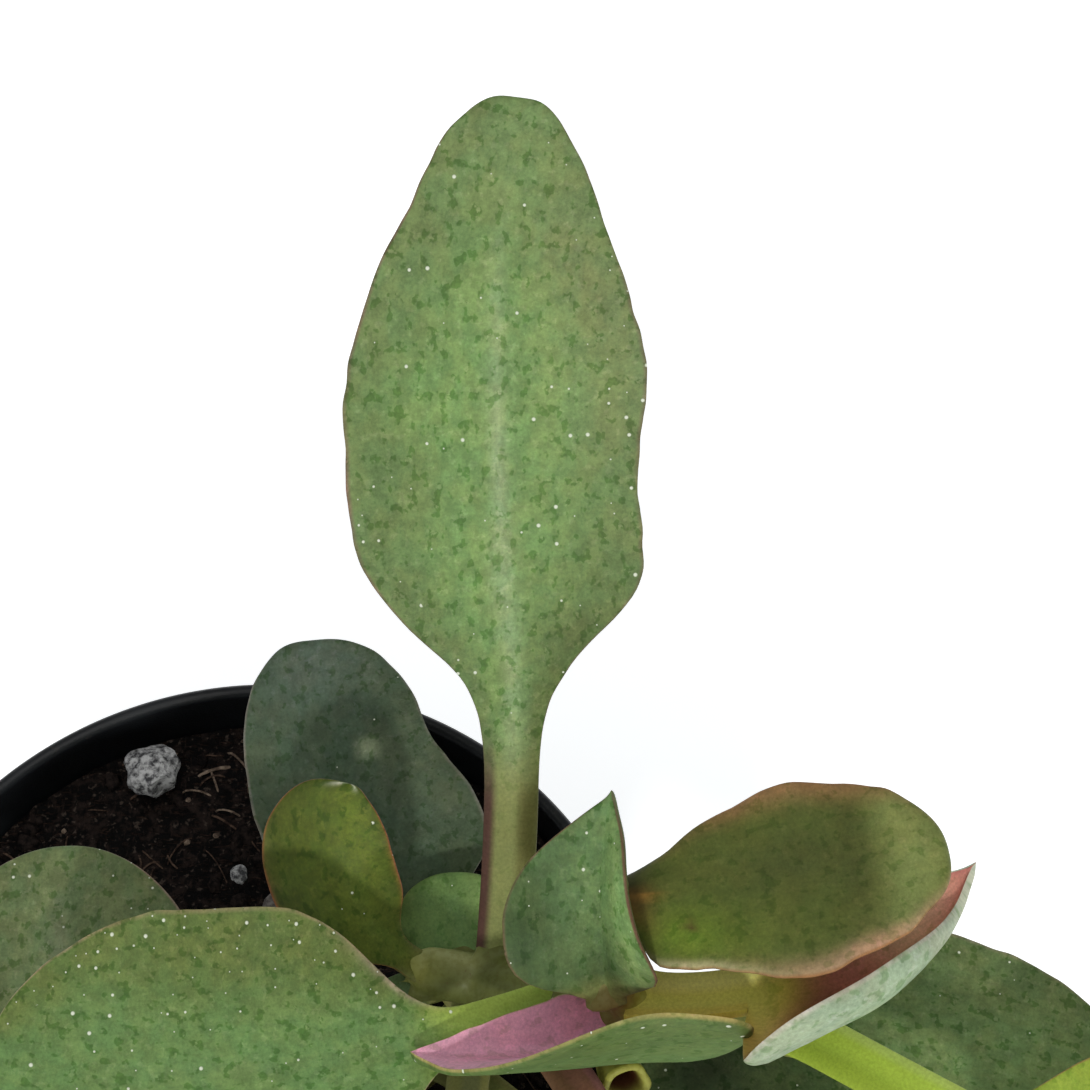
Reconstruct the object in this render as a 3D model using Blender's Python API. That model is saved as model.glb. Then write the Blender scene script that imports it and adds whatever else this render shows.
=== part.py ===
"""A potted crassula: a round nursery pot, its soil, three stems and their fleshy leaves.

Lengths below are in millimetres and angles in degrees, and MM turns them into metres in the meshes.
The pot stands on z = 0 with its axis on the z axis. North is +Y, east is +X, and a heading is
measured clockwise from north, seen from above.
"""
import random
from dataclasses import dataclass

import bmesh
import bpy
import numpy as np
from mathutils import noise, Vector

MM = 0.001
GAP = 0.3                      # clearance between pieces that touch

# Pot
POT_HEIGHT = 75.0
RIM_RADIUS = 45.0              # outside of the lip
LIP_HEIGHT = 9.0               # how far the lip's skirt comes down
LIP_WIDTH = 1.7                # the lip's rolled top, seen from above
LIP_STEP = 1.1                 # how far the skirt stands out from the wall
BASE_RADIUS = 32.0
WALL = 1.0
FLOOR = 1.4
DRAIN_COUNT = 8
DRAIN_RADIUS = 3.2
DRAIN_CIRCLE = 24.0
DRAIN_SIDES = 12
POT_SIDES = 56

# Soil
SOIL_TOP = 68.0                # mean height of the surface
SOIL_RISE = 1.2                # how far the surface rises and falls
SOIL_FALL = 0.8                # how much lower it lies at the wall
SOIL_FLOOR = FLOOR + GAP
SOIL_RINGS = 8
SOIL_SIDES = 40
SOIL_SEED = 7
GRAIN_FLAT = 0.82              # a grain's height over its width

# Stems
STEM_SIDES = 10
STEM_STEP = 2.2                # distance between the rings of a stem
SEAT_GAP = 0.35                # clearance between a leaf's stalk and its stem
HOLE_GAP = 0.4                 # clearance of a stem in its hole in the soil
STUB_INNER = 0.6               # bore of the old shoot's hollow end, at its bottom
STUB_MOUTH = 1.7
STUB_DEPTH = 3.6
BUD_LENGTH = 8.0               # unopened leaves at the tips of the small stems
BUD_HEADING = 92.0

# Leaves
EDGE = 0.7                     # thickness at a leaf's margin
BLADE = 1.5                    # thickness at the middle of the blade
STALK = 2.5                    # thickness of the stalk
START = 1.2                    # where a leaf starts, measured from the axis of its stem
FINE = 241                     # samples used to follow a midrib
EAR_PLACE = 0.2                # where along the blade an ear reaches back furthest

COLOURS = {
    "pot_plastic": ((0.016, 0.018, 0.021), 0.45),
    "soil_mix": ((0.030, 0.018, 0.012), 0.95),
    "perlite": ((0.55, 0.56, 0.57), 0.85),
    "pebble": ((0.16, 0.15, 0.14), 0.7),
    "stem_green": ((0.17, 0.20, 0.08), 0.5),
    "leaf_green": ((0.12, 0.19, 0.065), 0.45),
    "leaf_dark": ((0.035, 0.06, 0.04), 0.45),
    "leaf_yellow": ((0.19, 0.23, 0.03), 0.5),
    "leaf_purple": ((0.27, 0.09, 0.15), 0.5),
}


@dataclass
class Leaf:
    """One leaf: where it starts, how its midrib runs, and how wide and how bent the blade is."""
    name: str
    material: str
    base: tuple                # start of the midrib, on the axis of its stem
    heading: float             # direction in which the midrib sets out
    sweep: float = 0.0         # how far the heading turns by the tip
    late: float = 1.0          # over 1, the turn comes nearer the tip
    weave: float = 0.0         # size of a slow swing to both sides and back
    rise: float = 25.0         # slope at the start
    tip_rise: float = 5.0      # slope at the tip
    roll: float = 0.0          # turn about the midrib, 180 with the underside up
    stalk: float = 10.0        # length of the stalk
    blade: float = 40.0        # length of the blade
    left: float = 13.0         # greatest half width, left of the midrib
    right: float = 13.0
    widest: float = 0.55       # where along the blade it is widest
    waist_left: float = 0.5    # over 0.5, the blade flares from the stalk later
    waist_right: float = 0.5
    flare: float = 2.5         # how sharply it flares
    blunt: float = 0.5         # under 0.5 a round tip, towards 1 a pointed one
    stalk_half: float = 2.3    # half width of the stalk
    cup_left: float = 10.0     # how far the left half curls up, as an arc
    cup_right: float = 10.0
    fold_left: float = 0.0     # slope at which the left half leaves the midrib
    fold_right: float = 0.0
    over: float = 0.35         # share of the thickness above the middle sheet
    swell_left: tuple = ()     # bulges of the margin: (place along the blade, height, spread)
    swell_right: tuple = ()
    ear: float = 0.0           # how far the left margin reaches back beside the stalk
    ripple: float = 0.4        # height of the margin's waves
    ripples: float = 3.0       # waves along the blade
    stations: int = 14         # rows along the leaf
    across: int = 4            # faces across the leaf


# Joints of the main stem, from the soil to its two ends
JOINT_LOW = (25.4, 2.0, 81.0)
JOINT_MID = (27.9, 2.0, 91.0)
JOINT_TOP = (36.5, -2.1, 101.0)
JOINT_FORK = (41.0, -5.0, 105.0)
JOINT_TIP = (39.5, 0.5, 114.5)
JOINT_END = (57.3, -3.8, 96.5)
JOINT_SIDE = (19.7, 3.2, 93.0)
STUB_START = (39.8, -8.2, 99.2)
STUB_END = (40.9, -12.2, 101.6)

# Each stem is a list of branches, and each branch a list of (x, y, z, radius)
STEMS = {
    "stem_main": [
        [(13, -3, 50, 2.6), (14.5, -3, 66, 2.8), (19, -1, 74, 2.9), (*JOINT_LOW, 3.4), (26.4, 2.0, 86, 2.7),
         (*JOINT_MID, 3.6), (31.5, 0.4, 96, 2.5), (*JOINT_TOP, 3.1), (*JOINT_FORK, 2.7),
         (46, -5.0, 103.2, 2.2), (51.5, -4.5, 99.0, 2.0), (*JOINT_END, 2.8)],
        [(*JOINT_FORK, 2.0), (40.2, -4.6, 110, 1.8), (*JOINT_TIP, 2.0)],
        [(*JOINT_MID, 2.4), (23.5, 3.0, 91.2, 2.2), (*JOINT_SIDE, 2.3)],
        [(34.0, -0.6, 98.4, 2.0), (37.3, -4.6, 98.4, 2.0), (*STUB_START, 2.0), (*STUB_END, 2.6)],
    ],
    "stem_left": [
        [(-19, -25, 52, 2.3), (-18.5, -24, 70, 2.4), (-17.5, -21, 83, 3.0), (-17.5, -21.3, 86, 2.2),
         (-17.5, -21.5, 89.5, 2.8), (-18, -22, 94, 1.6)],
    ],
    "stem_front": [
        [(1, -29, 52, 2.2), (1, -30, 70, 2.3), (0, -32, 79, 3.0), (0, -33, 85, 2.7), (0, -34, 89, 1.5)],
    ],
}

LEAVES = [
    Leaf("leaf_tall", "leaf_green", JOINT_MID, 1, sweep=1.5, weave=6, rise=52, tip_rise=24, stalk=21,
         blade=73.8, left=15.4, right=14.1, widest=0.53, waist_left=0.97, waist_right=0.85, flare=3,
         blunt=0.54, stalk_half=2.6, cup_left=12, cup_right=12, swell_left=((0.8, -1.4, 0.12),),
         swell_right=((0.31, 1.2, 0.06), (0.64, 1.3, 0.12)), stations=26, across=8),
    Leaf("leaf_dark_back", "leaf_dark", JOINT_LOW, -46, sweep=40, rise=30, tip_rise=0, stalk=9, blade=38,
         left=10.6, right=13, widest=0.4, waist_left=0.8, waist_right=0.35, blunt=0.36, stalk_half=2.0,
         swell_right=((0.6, -1.4, 0.14),), stations=18, across=6),
    Leaf("leaf_yellow", "leaf_yellow", JOINT_SIDE, -77, sweep=95, rise=45, tip_rise=25, stalk=0, blade=24,
         left=8, right=5.5, widest=0.68, waist_left=0.8, waist_right=0.7, blunt=0.4, stalk_half=1.3,
         cup_left=15, cup_right=15, stations=16, across=6),
    Leaf("leaf_round", "leaf_green", (24.6, 4.4, 91.0), -24, sweep=16, rise=18, tip_rise=5, stalk=1,
         blade=10.5, left=6, right=5.5, widest=0.52, waist_left=0.4, waist_right=0.4, blunt=0.44,
         stalk_half=1.6, stations=10, across=4),
    Leaf("leaf_tiny", "leaf_dark", (20.8, 2.0, 91.0), -120, sweep=30, rise=-10, tip_rise=-10, stalk=1,
         blade=6, left=2.6, right=2.6, stalk_half=1.2, ripple=0, stations=8, across=4),
    Leaf("leaf_wide_left", "leaf_green", JOINT_TOP, -116, sweep=32, rise=14, tip_rise=2, roll=15, stalk=12,
         blade=49, left=15, right=15.8, widest=0.6, blunt=0.46, stalk_half=2.4, stations=20, across=8),
    Leaf("leaf_folded", "leaf_green", (38.8, -7.6, 112.5), -12, sweep=25, rise=45, tip_rise=30, stalk=1,
         blade=21, left=9.5, right=8, widest=0.41, waist_left=0.3, waist_right=0.2, flare=2, blunt=1.3,
         stalk_half=1.5, fold_right=55, cup_left=15, cup_right=15, across=6),
    Leaf("leaf_olive", "leaf_yellow", (40.5, 1.9, 116.0), 88, sweep=-6, rise=18, tip_rise=5, roll=180,
         stalk=0, blade=32, left=9.6, right=9.6, waist_left=0.12, waist_right=0.55, flare=2, blunt=0.42,
         stalk_half=1.8, cup_left=-8, cup_right=-8,
         swell_left=((0.2, -1.5, 0.13), (0.56, 0.9, 0.15), (0.92, -0.7, 0.06)),
         swell_right=((0.08, 0.9, 0.08), (0.33, -1.0, 0.12)), stations=16, across=6),
    Leaf("leaf_cupped_right", "leaf_purple", (40.7, -4.8, 108.5), 102, sweep=-60, late=0.9, rise=8,
         tip_rise=2, roll=180, stalk=12, blade=27.3, left=13, right=9, widest=0.3, waist_left=0.15, flare=2,
         blunt=1.4, stalk_half=2.4, fold_right=-40, cup_left=-125, cup_right=-30, over=0.9, ear=6,
         stations=18, across=10),
    Leaf("leaf_cupped_left", "leaf_purple", JOINT_END, -107, sweep=17.5, late=1.5, rise=28, tip_rise=3,
         roll=180, stalk=3, blade=37.4, left=5.7, right=16.6, widest=0.5, waist_left=7.5, waist_right=1.2,
         flare=4.5, blunt=1.1, stalk_half=1.8, fold_left=-38, fold_right=-79, cup_left=0, cup_right=-10,
         over=1.0, swell_right=((0.12, -2, 0.1), (0.31, 1.3, 0.06)), stations=22, across=8),
    Leaf("leaf_low_right", "leaf_dark", JOINT_LOW, 94, sweep=12, rise=14, tip_rise=-10, stalk=12, blade=62,
         left=14.5, right=15, widest=0.58, waist_left=1.2, waist_right=0.3, blunt=0.55, stalk_half=2.6,
         cup_left=8, cup_right=8, stations=20),
    Leaf("leaf_bright_right", "leaf_yellow", JOINT_END, 125, sweep=-12, rise=14, tip_rise=-12, stalk=21,
         blade=38, left=14, right=13, widest=0.5, stalk_half=2.8, cup_left=30, cup_right=30),
    Leaf("leaf_low_front", "leaf_dark", JOINT_LOW, 188, sweep=-14, rise=18, tip_rise=-5, stalk=10, blade=38,
         left=12.5, right=12.5),
    Leaf("leaf_tall_front", "leaf_green", JOINT_MID, 148, sweep=22, rise=40, tip_rise=2, stalk=26, blade=48,
         left=14, right=14, widest=0.52, waist_left=0.8, waist_right=0.8, flare=3, stations=18),
    Leaf("leaf_low_corner", "leaf_dark", (20.5, -0.6, 75.5), 130, sweep=8, rise=18, tip_rise=-14,
         stalk=12, blade=40, left=12.5, right=13),
    Leaf("leaf_left_back", "leaf_green", (-17.5, -20.6, 83), -3, rise=25, tip_rise=0, stalk=1.5, blade=38,
         left=15, right=15.2, widest=0.56, waist_left=0.7, waist_right=0.7, blunt=0.48, stalk_half=2.6,
         stations=18),
    Leaf("leaf_left_front", "leaf_green", (-17.5, -21, 83), 184, rise=30, tip_rise=0, stalk=10, blade=36,
         left=12.5, right=12.5),
    Leaf("leaf_left_outer", "leaf_green", (-17.5, -21.5, 89.5), -88, sweep=-10, rise=28, tip_rise=0, stalk=9,
         blade=30, left=11, right=11),
    Leaf("leaf_left_inner", "leaf_green", (-17.5, -21.5, 89.5), 70, sweep=10, rise=14, tip_rise=0, stalk=3,
         blade=16, left=6.5, right=6.5),
    Leaf("leaf_front_left", "leaf_green", (0, -32, 79), 222, sweep=-10, rise=20, tip_rise=-8, stalk=8,
         blade=28, left=9.5, right=9.5),
    Leaf("leaf_front_right", "leaf_green", (0, -32, 79), 118, sweep=20, rise=8, tip_rise=-8, stalk=8,
         blade=26, left=9, right=9),
    Leaf("leaf_front_top", "leaf_yellow", (0, -32.6, 83), 186, sweep=-10, rise=24, tip_rise=5, stalk=4,
         blade=20, left=7, right=7),
]

# Loose grains in the soil: name, material, centre, size across
GRAINS = [
    ("perlite_large", "perlite", (-13.8, 35.2, 71.3), 6.4),
    ("perlite_small", "perlite", (-3.0, 23.0, 69.0), 2.2),
    ("perlite_flake", "perlite", (-24.0, 20.0, 69.0), 2.6),
    ("pebble", "pebble", (1.5, 19.0, 69.2), 2.8),
]


def clear_scene():
    for old in list(bpy.data.objects):
        bpy.data.objects.remove(old, do_unlink=True)


def make_materials():
    """One Principled material for each finish."""
    made = {}
    for name, (colour, roughness) in COLOURS.items():
        material = bpy.data.materials.new(name)
        material.use_nodes = True
        shader = material.node_tree.nodes["Principled BSDF"]
        shader.inputs["Base Color"].default_value = (*colour, 1.0)
        shader.inputs["Roughness"].default_value = roughness
        shader.inputs["Metallic"].default_value = 0.0
        made[name] = material
    return made


def new_object(name, verts, faces, material):
    """An object in the scene from points in millimetres."""
    mesh = bpy.data.meshes.new(name)
    mesh.from_pydata((np.asarray(verts, float) * MM).tolist(), [], faces)
    mesh.validate()
    made = bpy.data.objects.new(name, mesh)
    bpy.context.scene.collection.objects.link(made)
    if material is not None:
        mesh.materials.append(material)
    mesh.shade_smooth()
    mesh.set_sharp_from_angle(angle=np.radians(50))
    return made


def point_outwards(thing):
    work = bmesh.new()
    work.from_mesh(thing.data)
    bmesh.ops.recalc_face_normals(work, faces=work.faces)
    work.to_mesh(thing.data)
    work.free()


def hide_cutter(cutter):
    cutter.hide_render = True
    cutter.display_type = "WIRE"


def add_boolean(target, operation, other):
    modifier = target.modifiers.new(operation.lower() + "_" + other.name, "BOOLEAN")
    modifier.operation = operation
    modifier.solver = "EXACT"
    modifier.object = other
    return modifier


def apply_modifiers(target):
    """Replace the object's mesh by its evaluated one."""
    graph = bpy.context.evaluated_depsgraph_get()
    mesh = bpy.data.meshes.new_from_object(target.evaluated_get(graph))
    target.modifiers.clear()
    target.data = mesh


def turned(profile, sides):
    """Points and faces of a closed profile of (radius, height) spun about z; radius 0 closes on the axis."""
    work = bmesh.new()
    ring = [work.verts.new((r, 0.0, z)) for r, z in profile]
    edges = [work.edges.new(pair) for pair in zip(ring[:-1], ring[1:])]
    bmesh.ops.spin(work, geom=ring + edges, axis=(0, 0, 1), cent=(0, 0, 0),
                   angle=2 * np.pi, steps=sides, use_duplicate=False)
    bmesh.ops.remove_doubles(work, verts=work.verts, dist=0.001)
    bmesh.ops.recalc_face_normals(work, faces=work.faces)
    verts = [tuple(v.co) for v in work.verts]
    work.verts.index_update()
    faces = [[v.index for v in f.verts] for f in work.faces]
    work.free()
    return verts, faces


def inner_radius(height):
    """Radius of the pot's inner wall at a height."""
    share = (height - FLOOR) / (POT_HEIGHT - LIP_HEIGHT - FLOOR)
    top = RIM_RADIUS - LIP_STEP - WALL
    foot = BASE_RADIUS - WALL
    return foot + (top - foot) * np.clip(share, 0.0, 1.0)


def make_pot(materials):
    """A turned shell: flat base, flared wall, stepped skirt and a rounded lip, with drainage holes."""
    skirt = POT_HEIGHT - LIP_HEIGHT
    shoulder = RIM_RADIUS - LIP_STEP
    half_lip = LIP_WIDTH / 2
    lip_centre = POT_HEIGHT - half_lip
    lip = [(RIM_RADIUS - half_lip + half_lip * np.cos(a), lip_centre + half_lip * np.sin(a))
           for a in np.radians((0, 36, 72, 108, 144, 180))]
    profile = [(0, 0), (BASE_RADIUS - 1.2, 0), (BASE_RADIUS, 1.2), (shoulder, skirt - 0.8),
               (RIM_RADIUS - 0.3, skirt), *lip, (inner_radius(skirt), skirt), (BASE_RADIUS - WALL, FLOOR),
               (0, FLOOR)]
    pot = new_object("pot", *turned(profile, POT_SIDES), materials["pot_plastic"])
    for index in range(DRAIN_COUNT):
        angle = 2 * np.pi * index / DRAIN_COUNT
        bpy.ops.mesh.primitive_cylinder_add(
            vertices=DRAIN_SIDES, radius=DRAIN_RADIUS * MM, depth=3 * FLOOR * MM,
            location=(DRAIN_CIRCLE * np.cos(angle) * MM, DRAIN_CIRCLE * np.sin(angle) * MM, FLOOR / 2 * MM))
        drill = bpy.context.object
        drill.name = "drain_cutter_" + str(index)
        hide_cutter(drill)
        add_boolean(pot, "DIFFERENCE", drill)
    return pot


def soil_height(x, y):
    """Height of the soil's surface: two sizes of smooth noise, and a slight fall towards the wall."""
    broad = noise.noise(Vector((x / 14.0, y / 14.0, SOIL_SEED)))
    small = noise.noise(Vector((x / 5.0, y / 5.0, SOIL_SEED + 9)))
    fall = SOIL_FALL * (np.hypot(x, y) / RIM_RADIUS) ** 3
    return SOIL_TOP + SOIL_RISE * broad + 0.5 * SOIL_RISE * small - fall


def make_soil(materials):
    """The root ball: the pot's inside less the gap, under an uneven surface on a polar grid."""
    outer = inner_radius(SOIL_TOP) - GAP
    foot = inner_radius(SOIL_FLOOR) - GAP
    verts = [(0, 0, soil_height(0, 0))]
    for ring in range(1, SOIL_RINGS + 2):
        below = ring > SOIL_RINGS
        radius = foot if below else outer * ring / SOIL_RINGS
        for side in range(SOIL_SIDES):
            angle = 2 * np.pi * (side + 0.5 * (ring % 2)) / SOIL_SIDES
            x, y = radius * np.cos(angle), radius * np.sin(angle)
            verts.append((x, y, SOIL_FLOOR if below else soil_height(x, y)))
    verts.append((0, 0, SOIL_FLOOR))
    last = len(verts) - 1
    faces = []
    for side in range(SOIL_SIDES):
        following = (side + 1) % SOIL_SIDES
        faces.append([0, 1 + side, 1 + following])
        for ring in range(SOIL_RINGS):
            low = 1 + ring * SOIL_SIDES
            high = low + SOIL_SIDES
            a, b, c, d = low + side, low + following, high + side, high + following
            faces += [[a, c, d], [a, d, b]] if ring % 2 else [[a, c, b], [b, c, d]]
        faces.append([last, last - SOIL_SIDES + following, last - SOIL_SIDES + side])
    soil = new_object("soil", verts, faces, materials["soil_mix"])
    point_outwards(soil)
    return soil


def make_grains(materials, soil):
    """Angular crumbs, each in a dimple of its own shape in the soil."""
    draw = random.Random(SOIL_SEED)
    for name, material, centre, size in GRAINS:
        for grow in (GAP, 0.0):
            state = draw.getstate()
            work = bmesh.new()
            bmesh.ops.create_icosphere(work, subdivisions=2, radius=size / 2)
            for vert in work.verts:
                vert.co *= draw.uniform(0.86, 1.08)
                vert.co.z *= GRAIN_FLAT
                vert.co += vert.co.normalized() * grow
            verts = [tuple(v.co + Vector(centre)) for v in work.verts]
            faces = [[v.index for v in f.verts] for f in work.faces]
            work.free()
            if grow:
                dimple = new_object(name + "_cutter", verts, faces, None)
                hide_cutter(dimple)
                add_boolean(soil, "DIFFERENCE", dimple)
                draw.setstate(state)
            else:
                new_object(name, verts, faces, materials[material])


def smooth_path(points, step):
    """A Catmull-Rom curve through the points, as rows of x, y, z and radius, about a step apart."""
    rows = np.asarray(points, float)
    padded = np.vstack([2 * rows[0] - rows[1], rows, 2 * rows[-1] - rows[-2]])
    path = []
    for before, start, end, after in zip(padded, padded[1:], padded[2:], padded[3:]):
        count = max(1, int(round(np.linalg.norm(end[:3] - start[:3]) / step)))
        t = (np.arange(count) / count)[:, None]
        path.append(0.5 * (2 * start + (end - before) * t
                           + (2 * before - 5 * start + 4 * end - after) * t ** 2
                           + (3 * start - before - 3 * end + after) * t ** 3))
    path.append(rows[-1:])
    return np.vstack(path)


def tube(points, grow=0.0):
    """A round stem along a smooth path, capped at both ends; grow is added to its radius."""
    path = smooth_path(points, STEM_STEP)
    centres, radii = path[:, :3], path[:, 3] + grow
    along = np.gradient(centres, axis=0)
    along /= np.linalg.norm(along, axis=1)[:, None]
    centres[0] -= along[0] * grow
    centres[-1] += along[-1] * grow
    first = np.cross(along, (0.35, 0.93, 0.1))
    first /= np.linalg.norm(first, axis=1)[:, None]
    second = np.cross(along, first)
    angle = 2 * np.pi * np.arange(STEM_SIDES) / STEM_SIDES
    ring = (first[:, None] * np.cos(angle)[None, :, None] + second[:, None] * np.sin(angle)[None, :, None])
    verts = (centres[:, None] + radii[:, None, None] * ring).reshape(-1, 3)
    faces = []
    for row in range(len(path) - 1):
        for side in range(STEM_SIDES):
            a = row * STEM_SIDES + side
            b = row * STEM_SIDES + (side + 1) % STEM_SIDES
            faces += [[a, b, b + STEM_SIDES], [a, b + STEM_SIDES, a + STEM_SIDES]]
    faces.append(list(range(STEM_SIDES))[::-1])
    faces.append(list(range(len(verts) - STEM_SIDES, len(verts))))
    return verts, faces


def make_stem(name, branches, material, grow=0.0):
    """The branches of one stem as a single body."""
    trunk = new_object(name, *tube(branches[0], grow), material)
    point_outwards(trunk)
    for index, branch in enumerate(branches[1:]):
        limb = new_object(name + "_limb_" + str(index), *tube(branch, grow), material)
        point_outwards(limb)
        add_boolean(trunk, "UNION", limb)
        apply_modifiers(trunk)
        bpy.data.objects.remove(limb, do_unlink=True)
    return trunk


def hollow_stub(stem):
    """The cut end of the old shoot is open: a short bore along it."""
    end = Vector(STUB_END)
    direction = (end - Vector(STUB_START)).normalized()
    depth = STUB_DEPTH + 2 * GAP
    bpy.ops.mesh.primitive_cone_add(
        vertices=STEM_SIDES, radius1=STUB_INNER * MM, radius2=STUB_MOUTH * MM, depth=depth * MM,
        location=(end - direction * (depth / 2 - 2 * GAP)) * MM)
    bore = bpy.context.object
    bore.name = "stub_cutter"
    bore.rotation_euler = direction.to_track_quat("Z", "Y").to_euler()
    hide_cutter(bore)
    add_boolean(stem, "DIFFERENCE", bore)


def half_width(leaf, along, side):
    """Half width of a leaf: the stalk, a flare up to the widest place, then a cosine down to the tip."""
    length = leaf.stalk + leaf.blade
    u = np.clip((along * length - leaf.stalk) / leaf.blade, 0, 1)
    widest = leaf.right if side > 0 else leaf.left
    waist = leaf.waist_right if side > 0 else leaf.waist_left
    x = np.clip(u / leaf.widest, 0, 1)
    flared = x ** leaf.flare / (x ** leaf.flare + (waist * (1 - x)) ** leaf.flare + 1e-12)
    beyond = np.clip((u - leaf.widest) / (1 - leaf.widest), 0, 1)
    rounded = np.cos(np.pi / 2 * beyond).clip(0, 1) ** leaf.blunt
    opening = leaf.stalk_half + (widest - leaf.stalk_half) * flared
    width = np.where(u < leaf.widest, opening, widest * rounded)
    for place, height, spread in leaf.swell_right if side > 0 else leaf.swell_left:
        width = width + height * np.exp(-((u - place) / spread) ** 2) * np.clip((1 - u) / 0.1, 0, 1)
    return width


def midrib(leaf, along):
    """Points of the midrib, and the sideways and upward directions there, for a leaf heading north."""
    t = np.linspace(0, 1, FINE)
    slope = np.radians(leaf.rise + (leaf.tip_rise - leaf.rise) * t)
    turn = np.radians(leaf.sweep * t ** leaf.late + leaf.weave * np.cos(2 * np.pi * t))
    forward = np.stack([np.sin(turn) * np.cos(slope), np.cos(turn) * np.cos(slope), np.sin(slope)], 1)
    step = (leaf.stalk + leaf.blade) / (FINE - 1)
    walked = np.vstack([np.zeros(3), np.cumsum((forward[1:] + forward[:-1]) / 2 * step, axis=0)])
    centre = np.stack([np.interp(along, t, walked[:, k]) for k in range(3)], -1)
    heading = np.stack([np.interp(along, t, forward[:, k]) for k in range(3)], -1)
    bearing = np.interp(along, t, turn)
    level = np.stack([np.cos(bearing), -np.sin(bearing), 0 * bearing], -1)
    above = np.cross(level, heading)
    roll = np.radians(leaf.roll)
    sideways = level * np.cos(roll) + above * np.sin(roll)
    upward = above * np.cos(roll) - level * np.sin(roll)
    return centre, sideways, upward


def leaf_surfaces(leaf):
    """Upper and lower surface of a leaf, as grids of points along and across it."""
    spaced = 1 - (1 - np.linspace(0, 0.99, leaf.stations)) ** 1.35
    first = START / (leaf.stalk + leaf.blade)
    along = first + (1 - first) * spaced
    centre, sideways, upward = midrib(leaf, along)
    u = np.clip((along * (leaf.stalk + leaf.blade) - leaf.stalk) / leaf.blade, 0, 1)
    bend = np.sin(np.pi * (u * 0.92 + 0.04)) ** 0.5
    body = BLADE + (STALK - BLADE) * (1 - u) ** 6
    forward = np.cross(upward, sideways)
    back = leaf.ear * (u / EAR_PLACE) * np.exp(1 - u / EAR_PLACE)
    upper, lower = [], []
    for across in np.linspace(-1, 1, leaf.across + 1):
        side = 1 if across >= 0 else -1
        width = half_width(leaf, along, side) * abs(across)
        cup = np.radians(leaf.cup_right if side > 0 else leaf.cup_left) * bend * abs(across)
        fold = np.radians(leaf.fold_right if side > 0 else leaf.fold_left) * bend
        cup = np.where(np.abs(cup) < 1e-4, 1e-4, cup)
        out = side * width * (np.sin(fold + cup) - np.sin(fold)) / cup
        lift = width * (np.cos(fold) - np.cos(fold + cup)) / cup
        wave = np.sin(2 * np.pi * leaf.ripples * u + side) * np.sin(np.pi * u)
        lift = lift + leaf.ripple * across ** 2 * wave
        lean = side * (fold + cup) if across else np.radians(leaf.fold_right - leaf.fold_left) / 2 * bend
        point = centre + out[:, None] * sideways + lift[:, None] * upward
        if side < 0:
            point = point - (back * across ** 2)[:, None] * forward
        normal = np.cos(lean)[:, None] * upward - np.sin(lean)[:, None] * sideways
        thick = EDGE + (body - EDGE) * (1 - across ** 2)
        upper.append(point + normal * (leaf.over * thick)[:, None])
        lower.append(point - normal * ((1 - leaf.over) * thick)[:, None])
    return np.stack(upper, 1), np.stack(lower, 1)


def make_leaf(leaf, materials, seat):
    """A closed leaf solid: both surfaces split alike, joined along the margin and at both ends."""
    upper, lower = leaf_surfaces(leaf)
    rows, columns = upper.shape[:2]
    offset = rows * columns
    verts = np.vstack([upper.reshape(-1, 3), lower.reshape(-1, 3)])
    faces = []
    for row in range(rows - 1):
        for column in range(columns - 1):
            a = row * columns + column
            b, c, d = a + 1, a + columns + 1, a + columns
            if (column < columns // 2) == (row % 2 == 0):
                halves = [[a, b, c], [a, c, d]]
            else:
                halves = [[a, b, d], [b, c, d]]
            faces += halves
            faces += [[offset + corner for corner in half[::-1]] for half in halves]
        for column, turn in ((0, 1), (columns - 1, -1)):
            a = row * columns + column
            d = a + columns
            strip = [[a, d, offset + d], [a, offset + d, offset + a]]
            faces += [face[::turn] for face in strip]
    for row, turn in ((0, -1), (rows - 1, 1)):
        for column in range(columns - 1):
            a = row * columns + column
            b = a + 1
            strip = [[a, b, offset + b], [a, offset + b, offset + a]]
            faces += [face[::turn] for face in strip]
    made = new_object(leaf.name, verts, faces, materials[leaf.material])
    made.location = Vector(leaf.base) * MM
    made.rotation_euler = (0, 0, -np.radians(leaf.heading))
    point_outwards(made)
    if seat is not None:
        add_boolean(made, "DIFFERENCE", seat)
    return made


def make_tip_leaves(stem, tip):
    """A pair of unopened leaves at a stem's tip, fused to it."""
    root = (tip[0], tip[1], tip[2] - 2 * START)
    half = 0.32 * BUD_LENGTH
    for index, turn in enumerate((0, 180)):
        bud = Leaf(stem.name + "_bud_" + str(index), "stem_green", root, BUD_HEADING + turn, rise=70,
                   tip_rise=35, stalk=0, blade=BUD_LENGTH, left=half, right=half, widest=0.5, blunt=0.6,
                   stalk_half=1.1, cup_left=30, cup_right=30, ripple=0, stations=8)
        piece = make_leaf(bud, {"stem_green": stem.data.materials[0]}, None)
        add_boolean(stem, "UNION", piece)
        bpy.context.view_layer.update()
        apply_modifiers(stem)
        bpy.data.objects.remove(piece, do_unlink=True)


def nearest_stem(leaf):
    """Name of the stem whose axis passes nearest to the leaf's start."""
    best, best_distance = None, 1e9
    for name, branches in STEMS.items():
        for branch in branches:
            path = smooth_path(branch, 1.0)[:, :3]
            distance = np.linalg.norm(path - np.asarray(leaf.base, float), axis=1).min()
            if distance < best_distance:
                best, best_distance = name, distance
    return best


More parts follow.
